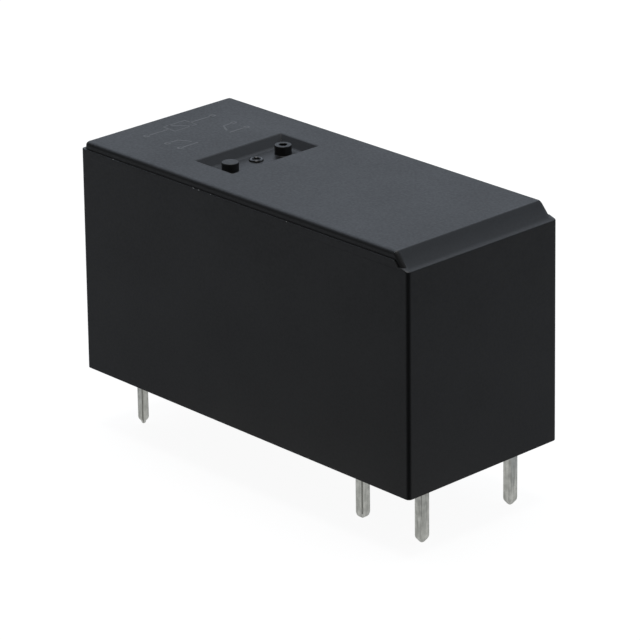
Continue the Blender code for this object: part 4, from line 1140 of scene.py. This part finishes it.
def ribbon_tree():
    """Lays a flat ribbon along each line."""
    tree, given = new_tree("laser_strokes", [("Width", "NodeSocketFloat"), ("Height", "NodeSocketFloat")])
    lines = add_node(tree, "GeometryNodeMeshToCurve", {"Mesh": given.outputs["Geometry"]})
    profile = add_node(tree, "GeometryNodeCurvePrimitiveQuadrilateral", {
        "Width": given.outputs["Width"], "Height": given.outputs["Height"],
    })
    upright = add_node(tree, "GeometryNodeSetCurveNormal", {"Curve": lines.outputs[0]}, mode="Z_UP")
    ribbon = add_node(tree, "GeometryNodeCurveToMesh", {
        "Curve": upright.outputs[0], "Profile Curve": profile.outputs[0], "Fill Caps": True,
    })
    close_tree(tree, ribbon.outputs[0], mark_finish)
    return tree


# %% Mark the roof
PIN_DOT_Y = 2.75
PIN_DOT_RADIUS = 0.15
LINE_END = PIN_DOT_Y - PIN_DOT_RADIUS


def circle(x, y, radius, steps=20):
    """A closed round stroke."""
    turns = [math.tau * step / steps for step in range(steps + 1)]
    return [(x + radius * math.cos(turn), y + radius * math.sin(turn)) for turn in turns]


def wiring_strokes():
    """The strokes of the wiring symbol, as lists of (x, y) points on the roof."""
    strokes = [[(-12.6, -0.9), (-12.6, 0.9), (-11.5, 0.9), (-11.5, -0.9), (-12.6, -0.9)]]
    strokes += [[(-12.6, -0.45), (-11.5, 0.45)]]
    for side in (-1, 1):
        strokes.append([(-12.05, side * 0.9), (-12.05, side * LINE_END)])
        strokes.append(circle(-12.05, side * PIN_DOT_Y, PIN_DOT_RADIUS))
        strokes.append([(-10.1, side * LINE_END), (-10.1, side * 1.9), (-9.3, side * 1.45)])
        strokes.append([(-8.9, side * LINE_END), (-8.9, side * 1.3)])
        strokes.append(circle(-10.1, side * PIN_DOT_Y, PIN_DOT_RADIUS))
        strokes.append(circle(-8.9, side * PIN_DOT_Y, PIN_DOT_RADIUS))
    return strokes


def mark_roof():
    """The wiring symbol as one piece of flat ribbons."""
    points, edges = [], []
    for stroke in wiring_strokes():
        first = len(points)
        points += [(x, y, ROOF) for x, y in stroke]
        edges += [(first + step, first + step + 1) for step in range(len(stroke) - 1)]
    mesh = bpy.data.meshes.new("marks")
    mesh.from_pydata(points, edges, [])
    marks = add_object("marks", mesh)
    grow(marks, ribbon_tree(), {"Width": STROKE_WIDTH, "Height": STROKE_HEIGHT})
    make_piece("laser_marks", marks, "housing", None, 20)


mark_roof()

# %% [markdown]
# ## Finishes of the mechanism
#
# The parts inside keep their CAD shapes, and each takes the finish of its real material: soft iron that
# has been annealed and plated, hard-rolled spring bronze, stainless steel, and light thermoplastics for the
# bobbin and the card. Rolled metals carry long fine grain lines, so their noise is drawn out along one axis.

# %% Metals and plastics inside
ALONG_X = (0.06, 1, 1)
UPRIGHT = (1, 1, 0.06)
EVEN = (1, 1, 1)
soft_iron = drawn_metal("nickel_plated_soft_iron", "#9c9b96", "#b4b2ab", 0.34, 0.12, ALONG_X, 2.0, 0.003)
spring_steel = drawn_metal("rolled_stainless_spring", "#a7a7a3", "#bdbcb6", 0.28, 0.12, ALONG_X, 2.0, 0.003)
bronze = drawn_metal("rolled_spring_bronze", "#a8744a", "#bf8a5c", 0.3, 0.12, UPRIGHT, 2.0, 0.003)
silver = drawn_metal("turned_silver_alloy", "#c9c6bd", "#dedbd2", 0.27, 0.12, EVEN, 2.0, 0.003)
bobbin_finish = moulded_plastic("natural_pbt_bobbin", "#b9b4a4", "#c8c3b4", 0.5, 3.0, 0.15, 0.003)
card_finish = moulded_plastic("natural_polyester_card", "#c5bfae", "#d2ccbc", 0.46, 3.0, 0.15, 0.003)
inside = {
    "base": base_finish, "bobbin": bobbin_finish, "card": card_finish, "core": soft_iron,
    "yoke": soft_iron, "armature": soft_iron, "hinge_spring": spring_steel,
    "moving_spring_near": bronze, "moving_spring_far": bronze,
}
for word in ("near", "far"):
    inside[f"moving_contact_{word}"] = silver
    inside[f"fixed_contact_{word}"] = silver
for name, finish in inside.items():
    dress(nodes[name], finish)
print("finished inside:", len(inside), "nodes")

# %% [markdown]
# ## Studio
#
# The relay stands on a pale floor with no horizon in view. Black plastic and tin show little of their own
# colour: what the eye meets is what they mirror. So the studio is laid out by mirror directions. The roof
# mirrors the lower half of a broad cool panel behind the relay. The chamfer, and the slope of the recess
# that leans the same way, mirror a smaller panel on the right. Rounded edges on the near side mirror one on
# the left, and a small bright one overhead gives the plain light and the shadow. The upright sides and the
# pins mirror the floor beside them, and the rounded edge between them mirrors the floor towards the camera.
# There the floor's colour is painted dark for reflections only, in a fan that stands for a black card.
#
# The camera sees the floor lifted to white, and its shadow stays. Light Path tells that ray from the others,
# so the lift puts no light on the relay. Close to the pins, a grey glow is painted into the floor for
# reflections only: shiny faces see an even grey patch in place of the paper and its shadow, a painted
# reflection.

# %% Floor
FLOOR_LIFT = 0.94
TIN_LIFT = 0.48
PAPER = "#bbbbbb"
PAPER_SEEN = "#666666"
PAINTED_DARK_FLOOR = "#3c3c3c"
# The painted dark of the reflections opens like a fan from the front corner, and its edge fades between two
# cosines of the angle from the camera's heading. The painted grey glow reaches this far round the relay, in
# millimetres, and fades too.
DARK_FAN_START = (HALF_LENGTH * MM, -HALF_WIDTH * MM, 0)
DARK_FAN_EDGE = (0.3, 0.85)
LIT_REACH = (22, 13, 20)
LIT_EDGE = (0.8, 1.05)
FLOOR_HALF = 1.5


def lay_floor():
    """A wide pale floor, white to the camera where no shadow falls, painted dark towards the camera and grey
    near the pins for reflections only.
    """
    shape = bmesh.new()
    bmesh.ops.create_grid(shape, x_segments=1, y_segments=1, size=FLOOR_HALF)
    floor = object_from("studio_floor", shape)
    material, tree, place = blank_material("pale_studio_paper")
    ray = add_node(tree, "ShaderNodeLightPath")
    away = add_node(tree, "ShaderNodeVectorMath", {0: place, 1: DARK_FAN_START}, operation="SUBTRACT")
    heading = add_node(tree, "ShaderNodeVectorMath", {0: away.outputs[0]}, operation="NORMALIZE")
    lens_way = (math.sin(CAMERA_AZIMUTH), -math.cos(CAMERA_AZIMUTH), 0)
    facing = add_node(tree, "ShaderNodeVectorMath", {
        0: heading.outputs[0], 1: lens_way,
    }, operation="DOT_PRODUCT")
    # card: how far a floor point lies in the fan painted dark for reflections; no card is there.
    card = add_node(tree, "ShaderNodeMapRange", {
        "Value": facing.outputs["Value"], "From Min": DARK_FAN_EDGE[0], "From Max": DARK_FAN_EDGE[1],
    }, interpolation_type="SMOOTHSTEP")
    spread = add_node(tree, "ShaderNodeMapping", {
        "Vector": place, "Scale": [per_metre(reach) for reach in LIT_REACH],
    })
    reach = add_node(tree, "ShaderNodeVectorMath", {0: spread.outputs[0]}, operation="LENGTH")
    close = add_node(tree, "ShaderNodeMapRange", {
        "Value": reach.outputs["Value"], "From Min": LIT_EDGE[0], "From Max": LIT_EDGE[1],
        "To Min": 1.0, "To Max": 0.0,
    })
    either = add_node(tree, "ShaderNodeMath", {0: card.outputs[0], 1: close.outputs[0]}, operation="MAXIMUM")
    darkened = add_node(tree, "ShaderNodeMath", {
        0: either.outputs[0], 1: ray.outputs["Is Glossy Ray"],
    }, operation="MULTIPLY")
    seen = add_node(tree, "ShaderNodeMix", {
        0: ray.outputs["Is Camera Ray"], 6: linear(PAPER), 7: linear(PAPER_SEEN),
    }, data_type="RGBA")
    colour = add_node(tree, "ShaderNodeMix", {
        0: darkened.outputs[0], 6: seen.outputs[2], 7: linear(PAINTED_DARK_FLOOR),
    }, data_type="RGBA")
    paper = add_node(tree, "ShaderNodeBsdfDiffuse", {"Color": colour.outputs[2]})
    mirrored = add_node(tree, "ShaderNodeMath", {
        0: close.outputs[0], 1: ray.outputs["Is Glossy Ray"],
    }, operation="MULTIPLY")
    # Painted reflection: a grey glow near the pins that only glossy rays see, in place of the floor's shadow.
    tin_light = add_node(tree, "ShaderNodeMath", {0: mirrored.outputs[0], 1: TIN_LIFT}, operation="MULTIPLY")
    lift = add_node(tree, "ShaderNodeMath", {
        0: ray.outputs["Is Camera Ray"], 1: FLOOR_LIFT, 2: tin_light.outputs[0],
    }, operation="MULTIPLY_ADD")
    glow = add_node(tree, "ShaderNodeEmission", {"Strength": lift.outputs[0]})
    both = add_node(tree, "ShaderNodeAddShader", {0: paper.outputs[0], 1: glow.outputs[0]})
    add_node(tree, "ShaderNodeOutputMaterial", {"Surface": both.outputs[0]})
    dress(floor, material)
    print("floor laid, side in m:", round(floor.dimensions.x, 1))


lay_floor()

# %% World
WORLD_FILL = 0.12


def light_world():
    """White to the camera, and a dim even fill for everything else."""
    world = bpy.data.worlds.new("studio")
    bpy.context.scene.world = world
    world.use_nodes = True
    tree = world.node_tree
    tree.nodes.clear()
    ray = add_node(tree, "ShaderNodeLightPath")
    strength = add_node(tree, "ShaderNodeMix", {0: ray.outputs["Is Camera Ray"], 2: WORLD_FILL, 3: 1.0})
    sky = add_node(tree, "ShaderNodeBackground", {
        "Color": (1, 1, 1, 1), "Strength": strength.outputs[0],
    })
    add_node(tree, "ShaderNodeOutputWorld", {"Surface": sky.outputs[0]})


light_world()

# %% Softboxes
STUDIO_MIDDLE = Vector((0, 0, 10 * MM))


def add_panel(name, azimuth, elevation, distance, size, radiance, tint):
    """A softbox of an even brightness, aimed at the middle of the relay."""
    lamp = bpy.data.lights.new(name, "AREA")
    lamp.shape = "RECTANGLE"
    lamp.size, lamp.size_y = size
    lamp.energy = radiance * math.pi * size[0] * size[1]
    lamp.color = linear(tint)[:3]
    panel = add_object(name, lamp)
    turn, rise = math.radians(azimuth), math.radians(elevation)
    out = Vector((math.sin(turn) * math.cos(rise), -math.cos(turn) * math.cos(rise), math.sin(rise)))
    panel.location = STUDIO_MIDDLE + out * distance
    panel.rotation_mode = "QUATERNION"
    panel.rotation_quaternion = out.to_track_quat("Z", "Y")
    panel.visible_camera = False
    print(name, "aimed, radiance", radiance)


add_panel("overhead_softbox", 0, 90, 0.45, (0.2, 0.2), 6.3, "#ffffff")
add_panel("rear_softbox", 226, 42, 0.45, (0.6, 0.5), 1.02, "#dfeafa")
add_panel("left_softbox", -80, 47, 0.4, (0.3, 0.25), 0.62, "#e2edff")
add_panel("right_softbox", 150, 38, 0.4, (0.4, 0.25), 0.82, "#dfeafa")
bpy.context.scene.view_settings.view_transform = "Standard"
